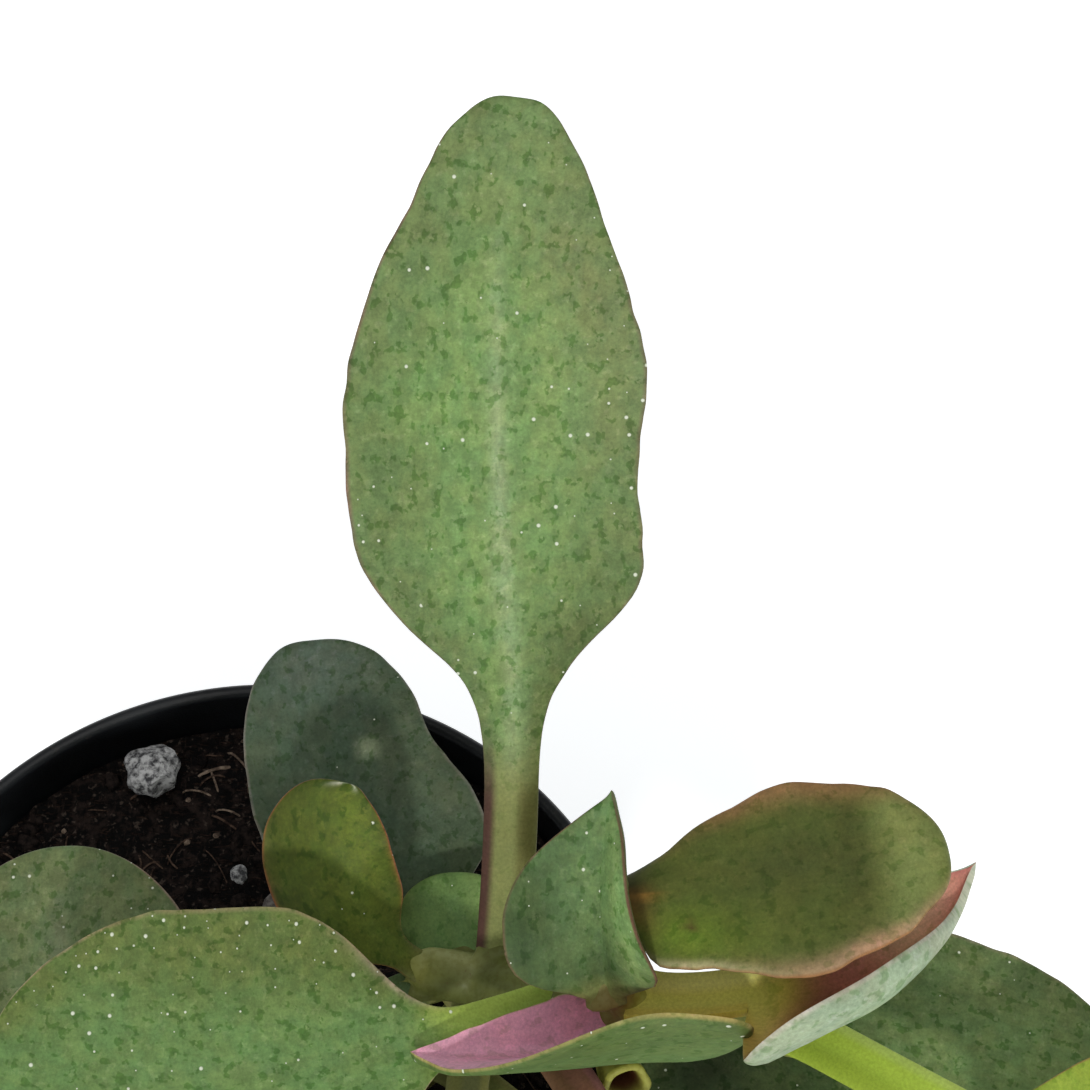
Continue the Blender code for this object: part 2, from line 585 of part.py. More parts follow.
def main():
    clear_scene()
    materials = make_materials()
    make_pot(materials)
    soil = make_soil(materials)
    make_grains(materials, soil)
    seats = {}
    for name, branches in STEMS.items():
        stem = make_stem(name, branches, materials["stem_green"])
        seats[name] = make_stem(name + "_cutter", branches, None, SEAT_GAP)
        hide_cutter(seats[name])
        hole = make_stem(name + "_hole_cutter", branches[:1], None, HOLE_GAP)
        hide_cutter(hole)
        add_boolean(soil, "DIFFERENCE", hole)
        if name == "stem_main":
            hollow_stub(stem)
        else:
            make_tip_leaves(stem, branches[0][-1][:3])
    for leaf in LEAVES:
        make_leaf(leaf, materials, seats[nearest_stem(leaf)])


main()
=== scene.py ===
"""Dressed model of a potted crassula: mottled fleshy leaves on short stems in a black nursery pot.

Lengths are in millimetres, times MM where Blender takes them, and angles are in degrees. The frame is
the CAD frame: the pot stands on z = 0 with its axis on the z axis, north is +Y and east is +X, and a
heading is measured clockwise from north, seen from above. Chart colours run from 0 to 255.
"""
import itertools
from dataclasses import dataclass

import bpy
import numpy as np
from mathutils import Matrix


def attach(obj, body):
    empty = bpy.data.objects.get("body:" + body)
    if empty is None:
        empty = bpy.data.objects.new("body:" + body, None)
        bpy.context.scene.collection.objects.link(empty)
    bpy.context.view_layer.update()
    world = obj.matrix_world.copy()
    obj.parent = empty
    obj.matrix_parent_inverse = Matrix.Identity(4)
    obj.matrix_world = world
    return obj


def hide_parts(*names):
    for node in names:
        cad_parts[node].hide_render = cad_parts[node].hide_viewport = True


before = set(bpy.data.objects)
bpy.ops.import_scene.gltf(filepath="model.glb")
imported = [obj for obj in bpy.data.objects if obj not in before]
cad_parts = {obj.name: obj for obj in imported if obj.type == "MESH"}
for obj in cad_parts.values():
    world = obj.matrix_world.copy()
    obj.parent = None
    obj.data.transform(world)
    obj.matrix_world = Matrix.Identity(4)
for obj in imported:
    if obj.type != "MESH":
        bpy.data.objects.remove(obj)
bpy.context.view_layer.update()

MM = 0.001
SEED = 11
LAYER_SHIFT = 7.31  # distance between the layers of noise, in cells of its lattice

# Camera, at the photograph's angle
AIM = (32.7, 63.4, 75.0)
DISTANCE = 332.0
CAMERA_RISE = 62.0
LENS = 90.0
SENSOR = 36.0

# Light
SKY = 0.33  # strength of the even light from all around
SKY_COLOUR = (0.97, 0.985, 1.0, 1.0)
HORIZON = (0.05, 0.2)  # heights in the sky between which the pale horizon fades out
LAMP_COLOUR = (1.0, 0.985, 0.96)
LAMP_SIDE = -5.0  # turn of both lamps about the vertical
LAMPS = (  # name, strength, width of the disc as seen from the plant, and rise
    ("front_lamp", 1.32, 5.0, 40.0),
    ("ceiling_lamp", 0.8, 55.0, 80.0),
)
PAPER_GLOW = 0.56
PAPER_HALF = 1500.0
PAPER_HEIGHT = -0.05

# Pot
POT_HEIGHT = 75.0
RIM_RADIUS = 45.0
LIP_HEIGHT = 9.0
LIP_WIDTH = 1.7
LIP_STEP = 1.1
BASE_RADIUS = 32.0
FOOT_ROUND = 1.2  # radius of the rounded edge at the foot
WALL = 1.0
FLOOR = 1.4
DRAIN_COUNT = 8
DRAIN_RADIUS = 3.2
DRAIN_CIRCLE = 24.0
POT_SIDES = 256

# Soil
GAP = 0.3  # clearance between the soil and the pot
SOIL_TOP = 68.0
SOIL_FALL = 0.8  # how much lower the surface lies at the wall
SOIL_SHOULDER = 65.8  # height at which the side of the root ball starts
SOIL_SWELLS = ((0.9, 13.0, 1), (0.7, 4.6, 2))  # height, size and layer of the noise
SOIL_LUMPS = (0.7, 1.9, 3)
SOIL_GRIT = (0.3, 0.9, 4)
SOIL_RINGS = 100
SOIL_SIDES = 480
CRUMBS = 620
PALE_CRUMBS = 0.07  # share of the crumbs
CRUMB_MARGIN = 1.8  # distance that crumbs and roots keep from the wall
FIBRES = 130

# Leaves
EDGE = 0.7  # thickness at the margin
BLADE = 1.5  # thickness at the middle of the blade
STALK = 2.5  # thickness of the stalk
FINE = 241  # samples used to follow a midrib
EAR_PLACE = 0.2  # where along the blade an ear reaches back furthest
LEAF_START = 0.4  # where a leaf starts, measured from the axis of its stem
TIP_CUT = 0.004  # how far before the tip the last row lies
ROW = 0.55  # distance between the rows of a leaf
ROWS = (24, 190)  # fewest and most rows
ROW_BIAS = 1.7  # over 1, the rows stand closer towards the tip
HALF_COLUMNS = 18  # columns from the midrib to the margin
TIP_ROUND = 1.1  # length over which the tip's thickness rounds off
FOLD_ROUND = 0.05  # share of the half width over which a fold sets in
RIPPLES = 3.0  # waves of the margin along the blade
GROOVE = 0.35  # depth of the groove along the midrib
GROOVE_HALF = 1.3
NOTCH_HALF = 2.2
TEETH = ((1.3, 4.6, 1), (0.8, 1.9, 2))  # height, size and layer of the margin's noise
BULGES = ((0.16, 6.5, 4), (0.07, 2.6, 5))  # the same for the faces of the blade
CLASP = 0.5  # how much wider a stalk is where it clasps the stem
CLASP_FADES = 2.6  # length over which that fades
UNDER_SHIFT = 60.0  # how far the pattern of the underside lies from the upper side's
BUD_LENGTH = 8.0
BUD_HEADING = 92.0
BUDDED = ("stem_left", "stem_front")

# Stems
STEM_SIDES = 28
STEM_STEP = 0.7
SLEEVE = 5.0  # length over which a stalk runs into its stem
SHORT_SLEEVE = 2.4  # the same for a leaf without a stalk
FOOT_LEAF = "leaf_tall"  # the leaf with a broad foot round the stem
FOOT_LENGTH = 9.0  # how far up its stalk that foot is wider than the stalk
FOOT_OUT = 7.6  # how far the foot reaches out at the stem
FOOT_SLOPE = 1.4
FOOT_FADE = 1.1
FOOT_THICK = 1.3
FOOT_CURL = 1.2
VOXEL = 0.33
EASING = 14  # rounds of smoothing after the remesh


@dataclass
class Leaf:
    """One leaf: where it starts, how its midrib runs, and how wide and how bent its two halves are.

    Pairs hold the left half first, then the right, as seen from the base with the upper side up.
    """
    name: str
    slot: str
    base: tuple  # start of the midrib, on the axis of its stem
    heading: float  # direction in which the midrib sets out
    sweep: float  # how far the heading turns by the tip
    rise: float  # slope at the start
    tip_rise: float  # slope at the tip
    stalk: float  # length of the stalk
    blade: float  # length of the blade
    half: tuple  # greatest half widths
    late: float = 1.0  # over 1, the turn comes nearer the tip
    weave: float = 0.0  # size of a slow swing to both sides and back
    roll: float = 0.0  # turn about the midrib, 180 with the underside up
    widest: float = 0.55  # where along the blade it is widest
    waist: tuple = (0.5, 0.5)  # over 0.5, the blade flares from the stalk later
    flare: float = 2.5  # how sharply it flares
    blunt: float = 0.5  # under 0.5 a round tip, towards 1 a pointed one
    stalk_half: float = 2.3  # half width of the stalk
    cup: tuple = (10, 10)  # how far the halves curl up, as arcs
    fold: tuple = (0, 0)  # slopes at which the halves leave the midrib
    over: float = 0.35  # share of the thickness above the middle sheet
    swell: tuple = ((), ())  # bulges of the margins: (place along the blade, height, spread)
    ear: float = 0.0  # how far the left margin reaches back beside the stalk
    ripple: float = 0.4  # height of the margin's waves
    frill: float = 0.12  # size of the small teeth and dents of the margin
    notch: float = 0.0  # depth of the dent in the tip


@dataclass
class Finish:
    """Chart colours of one leaf, and its patches: (u, v, spread in u, spread in v, colour, strength). Some
    leaves' patches and colours are painted light and shade, as noted at each.
    """
    middle: tuple = (112, 138, 82)
    outer: tuple = (106, 126, 76)
    rim: tuple = (120, 100, 78)
    band: tuple = (135, 152, 108)  # along the midrib
    stalk: tuple = (122, 128, 72)
    stalk_left: tuple = (118, 118, 66)
    stalk_right: tuple = (104, 106, 58)
    under: tuple = (96, 110, 66)
    band_width: float = 1.0
    band_strength: float = 0.5
    mottle: float = 0.8  # strength of the spots
    dots: float = 0.5  # how many white dots
    patches: tuple = ()
    under_patches: tuple = ()


# Joints of the main stem, from the soil to its two ends
JOINT_LOW = (25.4, 2.0, 81.0)
JOINT_MID = (27.9, 2.0, 91.0)
JOINT_TOP = (36.5, -2.1, 101.0)
JOINT_FORK = (41.0, -5.0, 105.0)
JOINT_TIP = (39.5, 0.5, 114.5)
JOINT_END = (57.3, -3.8, 96.5)
JOINT_SIDE = (19.7, 3.2, 93.0)
STUB_START = (39.8, -8.2, 99.2)
STUB_END = (40.9, -12.2, 101.6)

# Outline of the old shoot's cut end, down into its bore: share of the length, length added, radius
STUB_SHAPE = ((0, 0, 2.05), (0.4, 0, 2.2), (0.75, 0, 2.45), (1, -0.25, 2.6), (1, 0, 2.4), (1, 0, 2.05),
              (1, -0.2, 1.8), (1, -1.6, 1.25), (1, -3.6, 0.6))

# Each stem is a list of branches, and each branch a list of (x, y, z, radius)
STEMS = {
    "stem_main": [
        [(13, -3, 50, 2.6), (14.5, -3, 66, 2.8), (19, -1, 74, 2.9), (*JOINT_LOW, 3.4), (26.4, 2.0, 86, 2.7),
         (*JOINT_MID, 3.6), (31.5, 0.4, 96, 2.5), (*JOINT_TOP, 3.1), (*JOINT_FORK, 2.7),
         (46, -5.0, 103.2, 2.2), (51.5, -4.5, 99.0, 2.0), (*JOINT_END, 2.8)],
        [(*JOINT_FORK, 2.0), (40.2, -4.6, 110, 1.8), (*JOINT_TIP, 2.0)],
        [(*JOINT_MID, 2.7), (23.7, 2.9, 91.0, 2.8), (*JOINT_SIDE, 2.4)],
        [(34.0, -0.6, 98.4, 2.0), (37.3, -4.6, 98.4, 2.0), (*STUB_START, 2.0)],
    ],
    "stem_left": [
        [(-19, -25, 52, 2.3), (-18.5, -24, 70, 2.4), (-17.5, -21, 83, 3.0), (-17.5, -21.3, 86, 2.2),
         (-17.5, -21.5, 89.5, 2.8), (-18, -22, 94, 1.6)],
    ],
    "stem_front": [
        [(1, -29, 52, 2.2), (1, -30, 70, 2.3), (0, -32, 79, 3.0), (0, -33, 85, 2.7), (0, -34, 89, 1.5)],
    ],
}

# Colours laid on the stems: place, reach, power of the fading, colour and strength
PALE_JOINTS = [(joint, 4.2, 2, (142, 148, 84), 0.6)
               for joint in (JOINT_TOP, JOINT_FORK, JOINT_END, JOINT_SIDE)]
FOOT_CUP_SHADE = ((25.5, 1.5, 90.5), 7.0, 4, (84, 90, 46), 0.9)  # painted shade inside the tall leaf's foot
CUP_FLOOR = (88.5, 91.5)  # heights between which its deep shade fades out
LEAF_FEET = [  # folded leaf, right cupped leaf, yellow leaf
    ((39.0, -6.6, 111.5), 2.6, 2, (124, 84, 56), 0.9),
    ((43.5, -5.8, 108.8), 3.2, 2, (168, 168, 76), 0.9),
    (JOINT_SIDE, 1.8, 2, (160, 158, 72), 0.9),
]
PALE_LIP = [(place, 1.7, 2, (148, 152, 98), 0.9)  # edge of that foot
            for place in ((19.9, 4.4, 93.2), (21.6, 4.4, 93.2), (23.3, 4.1, 93.2), (24.8, 3.9, 93.2))]

# Name, slot, base, heading, sweep, rise, tip_rise, stalk, blade and half of each leaf, then what differs
LEAVES = [
    Leaf("leaf_tall", "leaf_green", JOINT_MID, 1, 1.5, 52, 24, 21, 73.8, (15.4, 14.1), weave=6, widest=0.53,
         waist=(0.97, 0.85), flare=3, blunt=0.54, stalk_half=2.8, cup=(12, 12),
         swell=(((0.8, -1.4, 0.12),), ((0.31, 1.2, 0.06), (0.64, 1.3, 0.12))), frill=0.2, notch=0.9),
    Leaf("leaf_dark_back", "leaf_dark", JOINT_LOW, -46, 40, 30, 0, 9, 38, (10.6, 13), widest=0.4,
         waist=(0.8, 0.35), blunt=0.36, stalk_half=2.0, swell=((), ((0.6, -1.4, 0.14),))),
    Leaf("leaf_yellow", "leaf_yellow", JOINT_SIDE, -77, 95, 45, 25, 0, 24, (8, 5.5), widest=0.68,
         waist=(0.8, 0.7), blunt=0.4, stalk_half=1.3, cup=(15, 15), notch=0.8),
    Leaf("leaf_round", "leaf_green", (24.8, 3.6, 90.0), -20, 16, 18, 5, 1, 10.2, (6.3, 6.6), widest=0.52,
         waist=(0.4, 0.4), blunt=0.44, stalk_half=1.6),
    Leaf("leaf_tiny", "leaf_dark", (20.8, 2.0, 91.0), -120, 30, -10, -10, 1, 6, (2.6, 2.6), stalk_half=1.2,
         ripple=0),
    Leaf("leaf_wide_left", "leaf_green", JOINT_TOP, -116, 32, 14, 2, 12, 49, (15, 15.8), roll=15, widest=0.6,
         blunt=0.46, stalk_half=2.4),
    Leaf("leaf_folded", "leaf_green", (38.8, -7.6, 112.5), -12, 25, 45, 30, 1, 21, (9.5, 7.3), widest=0.41,
         waist=(0.3, 0.2), flare=2, blunt=1.3, stalk_half=1.5, fold=(0.0, 55), cup=(15, 15),
         swell=((), ((0.55, -1.5, 0.2),))),
    Leaf("leaf_olive", "leaf_yellow", (40.5, 1.9, 116.0), 88, -6, 18, 5, 0, 32, (9.6, 9.6), roll=180,
         waist=(0.12, 0.55), flare=2, blunt=0.42, stalk_half=1.8, cup=(-8, -8),
         swell=(((0.2, -1.5, 0.13), (0.56, 0.9, 0.15), (0.92, -0.7, 0.06)),
                ((0.08, 0.9, 0.08), (0.33, -1.0, 0.12))), frill=0.28),
    Leaf("leaf_cupped_right", "leaf_purple", (40.7, -4.8, 108.5), 102, -60, 8, 2, 12, 27.3, (13, 9),
         late=0.9, roll=180, widest=0.3, waist=(0.15, 0.5), flare=2, blunt=1.4, stalk_half=2.4,
         fold=(0.0, -40), cup=(-125, -30), over=0.9, ear=6),
    Leaf("leaf_cupped_left", "leaf_purple", JOINT_END, -107, 17.5, 28, 3, 1.5, 38.9, (5.7, 16.6), late=1.5,
         roll=180, widest=0.5, waist=(7.5, 0.75), flare=4.5, blunt=1.1, stalk_half=1.8, fold=(-38, -79),
         cup=(0, -10), over=1.0, swell=((), ((0.12, -2, 0.1), (0.31, 1.3, 0.06))), frill=0.3),
    Leaf("leaf_low_right", "leaf_dark", JOINT_LOW, 94, 12, 14, -10, 12, 62, (14.5, 15), widest=0.58,
         waist=(1.2, 0.3), blunt=0.55, stalk_half=2.6, cup=(8, 8)),
    Leaf("leaf_bright_right", "leaf_yellow", JOINT_END, 125, -12, 14, -12, 21, 38, (14, 13), widest=0.5,
         stalk_half=2.8, cup=(30, 30)),
    Leaf("leaf_low_front", "leaf_dark", JOINT_LOW, 188, -14, 18, -5, 10, 38, (12.5, 12.5)),
    Leaf("leaf_tall_front", "leaf_green", JOINT_MID, 148, 22, 40, 2, 26, 48, (14, 14), widest=0.52,
         waist=(0.8, 0.8), flare=3),
    Leaf("leaf_low_corner", "leaf_dark", (20.5, -0.6, 75.5), 130, 8, 18, -14, 12, 40, (12.5, 13)),
    Leaf("leaf_left_back", "leaf_green", (-17.5, -20.6, 83), -3, 0, 25, 0, 1.5, 38, (15, 15.2), widest=0.56,
         waist=(0.7, 0.7), blunt=0.48, stalk_half=2.6),
    Leaf("leaf_left_front", "leaf_green", (-17.5, -21, 83), 184, 0, 30, 0, 10, 36, (12.5, 12.5)),
    Leaf("leaf_left_outer", "leaf_green", (-17.5, -21.5, 89.5), -88, -10, 28, 0, 9, 30, (11, 11)),
    Leaf("leaf_left_inner", "leaf_green", (-17.5, -21.5, 89.5), 70, 10, 14, 0, 3, 16, (6.5, 6.5)),
    Leaf("leaf_front_left", "leaf_green", (0, -32, 79), 222, -10, 20, -8, 8, 28, (9.5, 9.5)),
    Leaf("leaf_front_right", "leaf_green", (0, -32, 79), 118, 20, 8, -8, 8, 26, (9, 9)),
    Leaf("leaf_front_top", "leaf_yellow", (0, -32.6, 83), 186, -10, 24, 5, 4, 20, (7, 7)),
]

GREEN = Finish()
DARK = Finish(middle=(100, 124, 82), outer=(98, 118, 76), rim=(112, 104, 96), band=(84, 98, 70),
              stalk=(96, 100, 62), under=(60, 66, 48), mottle=0.7, dots=0.2)

# Middle, outer, rim and band colour of each leaf, then what differs
FINISHES = {
    "leaf_tall": Finish(
        (120, 149, 90), (110, 131, 82), (118, 98, 84), (152, 170, 126), stalk=(128, 134, 80),
        stalk_left=(82, 58, 50), stalk_right=(106, 106, 58), band_width=1.1, band_strength=0.75, mottle=1.0,
        dots=1.0,
        patches=((0.22, 0.7, 0.16, 0.5, (92, 106, 62), 0.85), (0.72, 0.7, 0.2, 0.4, (126, 132, 90), 0.7),
                 (0.92, 0.0, 0.12, 0.9, (116, 128, 86), 0.6), (0.2, -0.8, 0.2, 0.3, (100, 118, 72), 0.6))),
    "leaf_dark_back": Finish(
        (74, 90, 71), (75, 89, 69), (120, 116, 108), (66, 83, 62), under=(56, 60, 48), stalk=(80, 88, 52),
        mottle=0.9, dots=0.2,
        patches=((0.92, 0.0, 0.14, 1.0, (92, 104, 92), 0.8), (0.45, 0.8, 0.3, 0.3, (84, 94, 72), 0.7),
                 (0.1, 0.2, 0.2, 0.8, (62, 78, 54), 0.8), (0.62, 0.36, 0.03, 0.09, (138, 152, 122), 1.0))),
    "leaf_yellow": Finish(
        (80, 94, 33), (76, 87, 32), (140, 88, 58), (92, 106, 44), stalk=(92, 92, 42), mottle=0.9, dots=0.4,
        under=(92, 96, 46),
        patches=((0.8, 0.4, 0.25, 0.5, (98, 114, 40), 0.8), (0.5, 1.05, 0.3, 0.1, (146, 104, 60), 0.8),
                 (0.5, -1.05, 0.3, 0.1, (110, 82, 52), 0.8), (1.0, -0.45, 0.02, 0.16, (186, 192, 172), 0.9),
                 (1.0, 0.5, 0.02, 0.18, (186, 192, 172), 0.9))),
    "leaf_round": Finish(
        (94, 122, 68), (88, 110, 56), (112, 96, 60), (102, 130, 78), mottle=0.7, dots=0.3,
        patches=((0.6, 0.7, 0.4, 0.4, (140, 168, 102), 0.8),)),
    "leaf_wide_left": Finish(
        # The pale stalk colours are painted light that offsets the shadow the left cupped leaf casts on the
        # stalk.
        (104, 133, 78), (100, 120, 66), (158, 142, 110), (110, 136, 84), stalk=(168, 192, 92),
        stalk_left=(160, 182, 86), stalk_right=(162, 184, 84), mottle=1.0, dots=2.4,
        patches=((0.5, 0.8, 0.5, 0.3, (100, 114, 60), 0.8), (0.35, -0.5, 0.35, 0.5, (114, 146, 86), 0.7),
                 (0.12, 1.0, 0.1, 0.12, (192, 168, 148), 0.8))),
    "leaf_left_back": Finish(
        (106, 121, 82), (102, 114, 76), (142, 118, 106), (146, 152, 120), band_strength=0.9, band_width=1.5,
        mottle=1.0, dots=1.2,
        # The dark patch near the left margin is a painted shadow of the wide left leaf.
        patches=((0.45, -0.9, 0.22, 0.5, (58, 64, 40), 0.9),)),
    "leaf_folded": Finish(
        (106, 134, 84), (102, 128, 80), (112, 84, 66), (82, 104, 58), mottle=1.0, dots=0.8,
        under=(92, 100, 60),
        # The first two patches are painted shade on the left and lower part, and the third is painted light
        # on the right fold.
        patches=((0.35, -0.75, 0.4, 0.5, (54, 70, 38), 0.9), (0.08, 0.2, 0.2, 0.8, (52, 66, 38), 0.9),
                 (0.45, 0.7, 0.45, 0.35, (134, 164, 102), 0.8), (0.0, 0.0, 0.035, 1.2, (116, 62, 46), 0.9))),
    "leaf_olive": Finish(
        (92, 112, 54), (92, 108, 50), (150, 108, 70), (84, 90, 40), under=(86, 95, 44), mottle=1.0, dots=0.3,
        stalk=(104, 78, 38), stalk_left=(86, 92, 40), stalk_right=(60, 58, 30),
        under_patches=(
            # The first four under patches are painted light and shade: a lit right end, a shaded band beside
            # it, a lit lower left and a shaded middle.
            (0.9, 0.1, 0.13, 1.2, (140, 150, 88), 0.9), (0.72, 0.1, 0.07, 0.9, (72, 78, 38), 0.8),
            (0.22, -0.6, 0.18, 0.4, (104, 124, 44), 0.9), (0.5, 0.1, 0.22, 0.4, (74, 80, 42), 0.7),
            (0.55, 0.96, 0.35, 0.17, (146, 112, 74), 0.9), (0.7, -0.97, 0.3, 0.13, (172, 138, 108), 0.9),
            (0.2, -0.97, 0.2, 0.06, (176, 170, 128), 0.9), (0.04, 0.1, 0.05, 0.5, (46, 38, 20), 0.9),
            (0.07, -0.03, 0.05, 0.07, (150, 112, 52), 1.0), (0.2, -0.36, 0.012, 0.03, (30, 28, 16), 1.0),
            (0.205, -0.47, 0.022, 0.05, (78, 52, 32), 1.0))),
    "leaf_cupped_right": Finish(
        # The pale stalk colours are painted light that offsets the shadow the left cupped leaf casts on the
        # stalk; the underside's pink is the leaf's own, made paler as painted light in its shaded hollow.
        (150, 168, 138), (160, 176, 148), (200, 192, 178), (140, 160, 110), stalk=(198, 204, 92),
        stalk_left=(194, 190, 78), stalk_right=(212, 220, 120), under=(190, 108, 104), mottle=0.7, dots=0.3,
        patches=((0.95, -0.6, 0.2, 0.7, (218, 214, 200), 0.9),),
        under_patches=(
            # The broad pale patch and the two yellow-green patches at the stalk are painted light, and the
            # dark maroon patch is painted shade deep in the hollow.
            (0.7, 0.0, 0.3, 1.0, (222, 182, 152), 0.8), (0.1, 0.0, 0.13, 0.5, (196, 192, 82), 0.9),
            (0.14, 0.75, 0.16, 0.35, (182, 200, 100), 0.9), (0.24, -0.6, 0.13, 0.5, (112, 58, 50), 0.85))),
    "leaf_cupped_left": Finish(
        (100, 124, 74), (96, 116, 64), (170, 156, 98), (84, 108, 60), stalk=(116, 122, 66),
        under=(220, 164, 186), mottle=0.7, dots=0.9,
        under_patches=((0.75, -0.6, 0.3, 0.6, (200, 140, 156), 0.6),)),
    "leaf_low_right": Finish(
        (112, 134, 84), (102, 118, 74), (136, 126, 102), (118, 142, 90), stalk=(100, 110, 60), mottle=1.0,
        dots=0.6,
        patches=((0.15, 0.0, 0.32, 1.0, (58, 70, 46), 1.0), (0.78, 0.3, 0.2, 0.5, (116, 138, 88), 0.6))),
    "leaf_bright_right": Finish(
        (156, 182, 66), (146, 166, 62), (150, 118, 76), (166, 190, 84), stalk=(160, 184, 66),
        stalk_left=(170, 190, 92), stalk_right=(150, 172, 58), under=(120, 132, 60), mottle=0.5, dots=0.2),
    "leaf_low_corner": Finish(
        (126, 142, 72), (122, 136, 72), (186, 160, 150), (130, 146, 80), under=(92, 98, 60), mottle=0.5,
        dots=0.3),
    "leaf_front_top": Finish((120, 140, 66), (124, 134, 66), (160, 110, 72), (132, 150, 80), mottle=0.4),
    "leaf_tall_front": Finish(stalk=(132, 92, 74), stalk_left=(150, 100, 98), stalk_right=(118, 86, 62)),
}

# Loose grains in the soil: name, slot, centre, size across
GRAINS = [
    ("perlite_large", "perlite", (-13.8, 35.2, 71.3), 6.4),
    ("perlite_small", "perlite", (-3.0, 23.0, 69.0), 2.2),
    ("perlite_flake", "perlite", (-24.0, 20.0, 69.0), 2.6),
    ("pebble", "pebble", (1.5, 19.0, 69.2), 2.8),
]
GRAIN_SHAPES = {"perlite": (0.96, 0.24), "pebble": (1.06, 0.16)}  # share of the size, and roughness
GRAIN_FLAT = 0.82  # a grain's height over its width
CRUMB_FLAT = 0.7

# Grainy materials: name, dark and light colour
GRAINY = {
    "perlite": ("perlite_chalk", (70, 70, 72), (202, 202, 202)),
    "pebble": ("pebble_stone", (92, 86, 82), (140, 134, 128)),
    "soil_crumb": ("peat_crumb", (12, 10, 10), (44, 36, 33)),
    "straw": ("pale_bark", (92, 78, 68), (150, 132, 116)),
    "fibre": ("root_fibre", (52, 40, 34), (98, 80, 68)),
}

STRAWS = (  # start x, y, end x, y, bow and radius of the pale straws on the soil
    (-9.2, 35.8, -4.4, 37.2, 0.3, 0.24), (-7.4, 37.0, -6.0, 33.2, 0.2, 0.14),
    (-10.8, 33.9, -6.4, 33.0, 0.5, 0.13), (-5.4, 39.2, -2.6, 36.4, 0.3, 0.15),
    (-3.8, 40.6, -2.4, 40.0, 0.1, 0.2), (-13.0, 37.4, -11.2, 39.0, 0.2, 0.12),
    (-6.6, 31.4, -3.0, 30.4, 0.4, 0.13), (9.6, 34.0, 13.4, 32.2, 0.3, 0.15),
    (-28.0, 24.0, -24.6, 26.8, 0.3, 0.13), (20.0, -30.0, 24.0, -26.5, 0.4, 0.16),
    (-6.0, -10.0, -1.0, -12.0, 0.5, 0.14),
)
BOW_SHAPE = 1 - np.linspace(-1, 1, 7) ** 2

LATTICE = np.random.default_rng(SEED).uniform(-1, 1, (32, 32, 32))


def paint(*chart):
    """Linear red, green and blue of a chart colour."""
    share = np.asarray(chart, float) / 255.0
    return np.where(share > 0.04045, ((share + 0.055) / 1.055) ** 2.4, share / 12.92)


def smooth(value, low, high):
    """A step from 0 at low to 1 at high: 3t^2 - 2t^3."""
    t = np.clip((value - low) / (high - low), 0, 1)
    return t * t * (3 - 2 * t)


def wander(points, size, layer):
    """Smooth noise from -1 to 1: random values on a cubic lattice of this size, blended by 3t^2 - 2t^3."""
    place = np.asarray(points, float) / size + LAYER_SHIFT * layer
    whole = np.floor(place).astype(int)
    part = place - whole
    part = part * part * (3 - 2 * part)
    total = 0.0
    for corner in itertools.product((0, 1), repeat=3):
        weight = np.where(corner, part, 1 - part).prod(axis=-1)
        index = (whole + corner) % len(LATTICE)
        total = total + weight * LATTICE[index[..., 0], index[..., 1], index[..., 2]]
    return total


def wander_sum(points, layers):
    """Sum of noises, each given by its height, size and layer."""
    return sum(height * wander(points, size, layer) for height, size, layer in layers)


def turns(count):
    """Evenly spaced angles all the way round."""
    return 2 * np.pi * np.arange(count) / count


def unit(vectors):
    """The same directions at length 1."""
    return vectors / np.linalg.norm(vectors, axis=-1, keepdims=True)


def away(points, place):
    """Distance of each point from a place."""
    return np.linalg.norm(points - np.asarray(place, float), axis=1)


def mix(first, second, share):
    """Colours between two, by a share for each point."""
    return first + (second - first) * share[..., None]


def skin(rings, start=None, end=None):
    """Points and faces of rows of closed rings: quads between the rows, and a fan to a point at each end."""
    rows, around = rings.shape[:2]
    start = rings[0].mean(0) if start is None else start
    end = rings[-1].mean(0) if end is None else end
    verts = np.vstack([rings.reshape(-1, 3), start, end])
    index = np.arange(rows * around).reshape(rows, around)
    beside = np.roll(index, -1, axis=1)
    quads = np.stack([index[:-1], beside[:-1], beside[1:], index[1:]], -1).reshape(-1, 4)
    first = np.full(around, rows * around)
    head = np.stack([first, beside[0], index[0]], 1)
    tail = np.stack([first + 1, index[-1], beside[-1]], 1)
    return verts, quads.tolist() + head.tolist() + tail.tolist()


def outward(verts, faces):
    """The same skin with its faces pointing outwards, which makes the signed volume inside them positive."""
    fans = [(face[0], *face[k:k + 2]) for face in faces for k in range(1, len(face) - 1)]
    a, b, c = verts[np.array(fans)].transpose(1, 0, 2)
    volume = (a * np.cross(b, c)).sum()
    return verts, faces if volume > 0 else [face[::-1] for face in faces]


def joined(forms):
    """Points and faces of several closed forms, given as rings, as one mesh."""
    verts, faces, count = [], [], 0
    for rings in forms:
        form_verts, form_faces = outward(*skin(rings))
        verts.append(form_verts)
        faces += [[corner + count for corner in face] for face in form_faces]
        count += len(form_verts)
    return np.vstack(verts), faces


def new_mesh(name, verts, faces, material):
    """A mesh of points in millimetres."""
    mesh = bpy.data.meshes.new(name)
    mesh.from_pydata((np.asarray(verts, float) * MM).tolist(), [], faces)
    mesh.materials.append(material)
    return mesh


def put(name, data):
    """A new object in the scene."""
    made = bpy.data.objects.new(name, data)
    bpy.context.scene.collection.objects.link(made)
    return made


def new_piece(name, verts, faces, material, slot=None, smooth_angle=60):
    """A smooth-shaded object with outward faces, riding on the plant's one body."""
    mesh = new_mesh(name, *outward(verts, faces), material)
    mesh.shade_smooth()
    mesh.set_sharp_from_angle(angle=np.radians(smooth_angle))
    made = put(name, mesh)
    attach(made, "root")
    return made


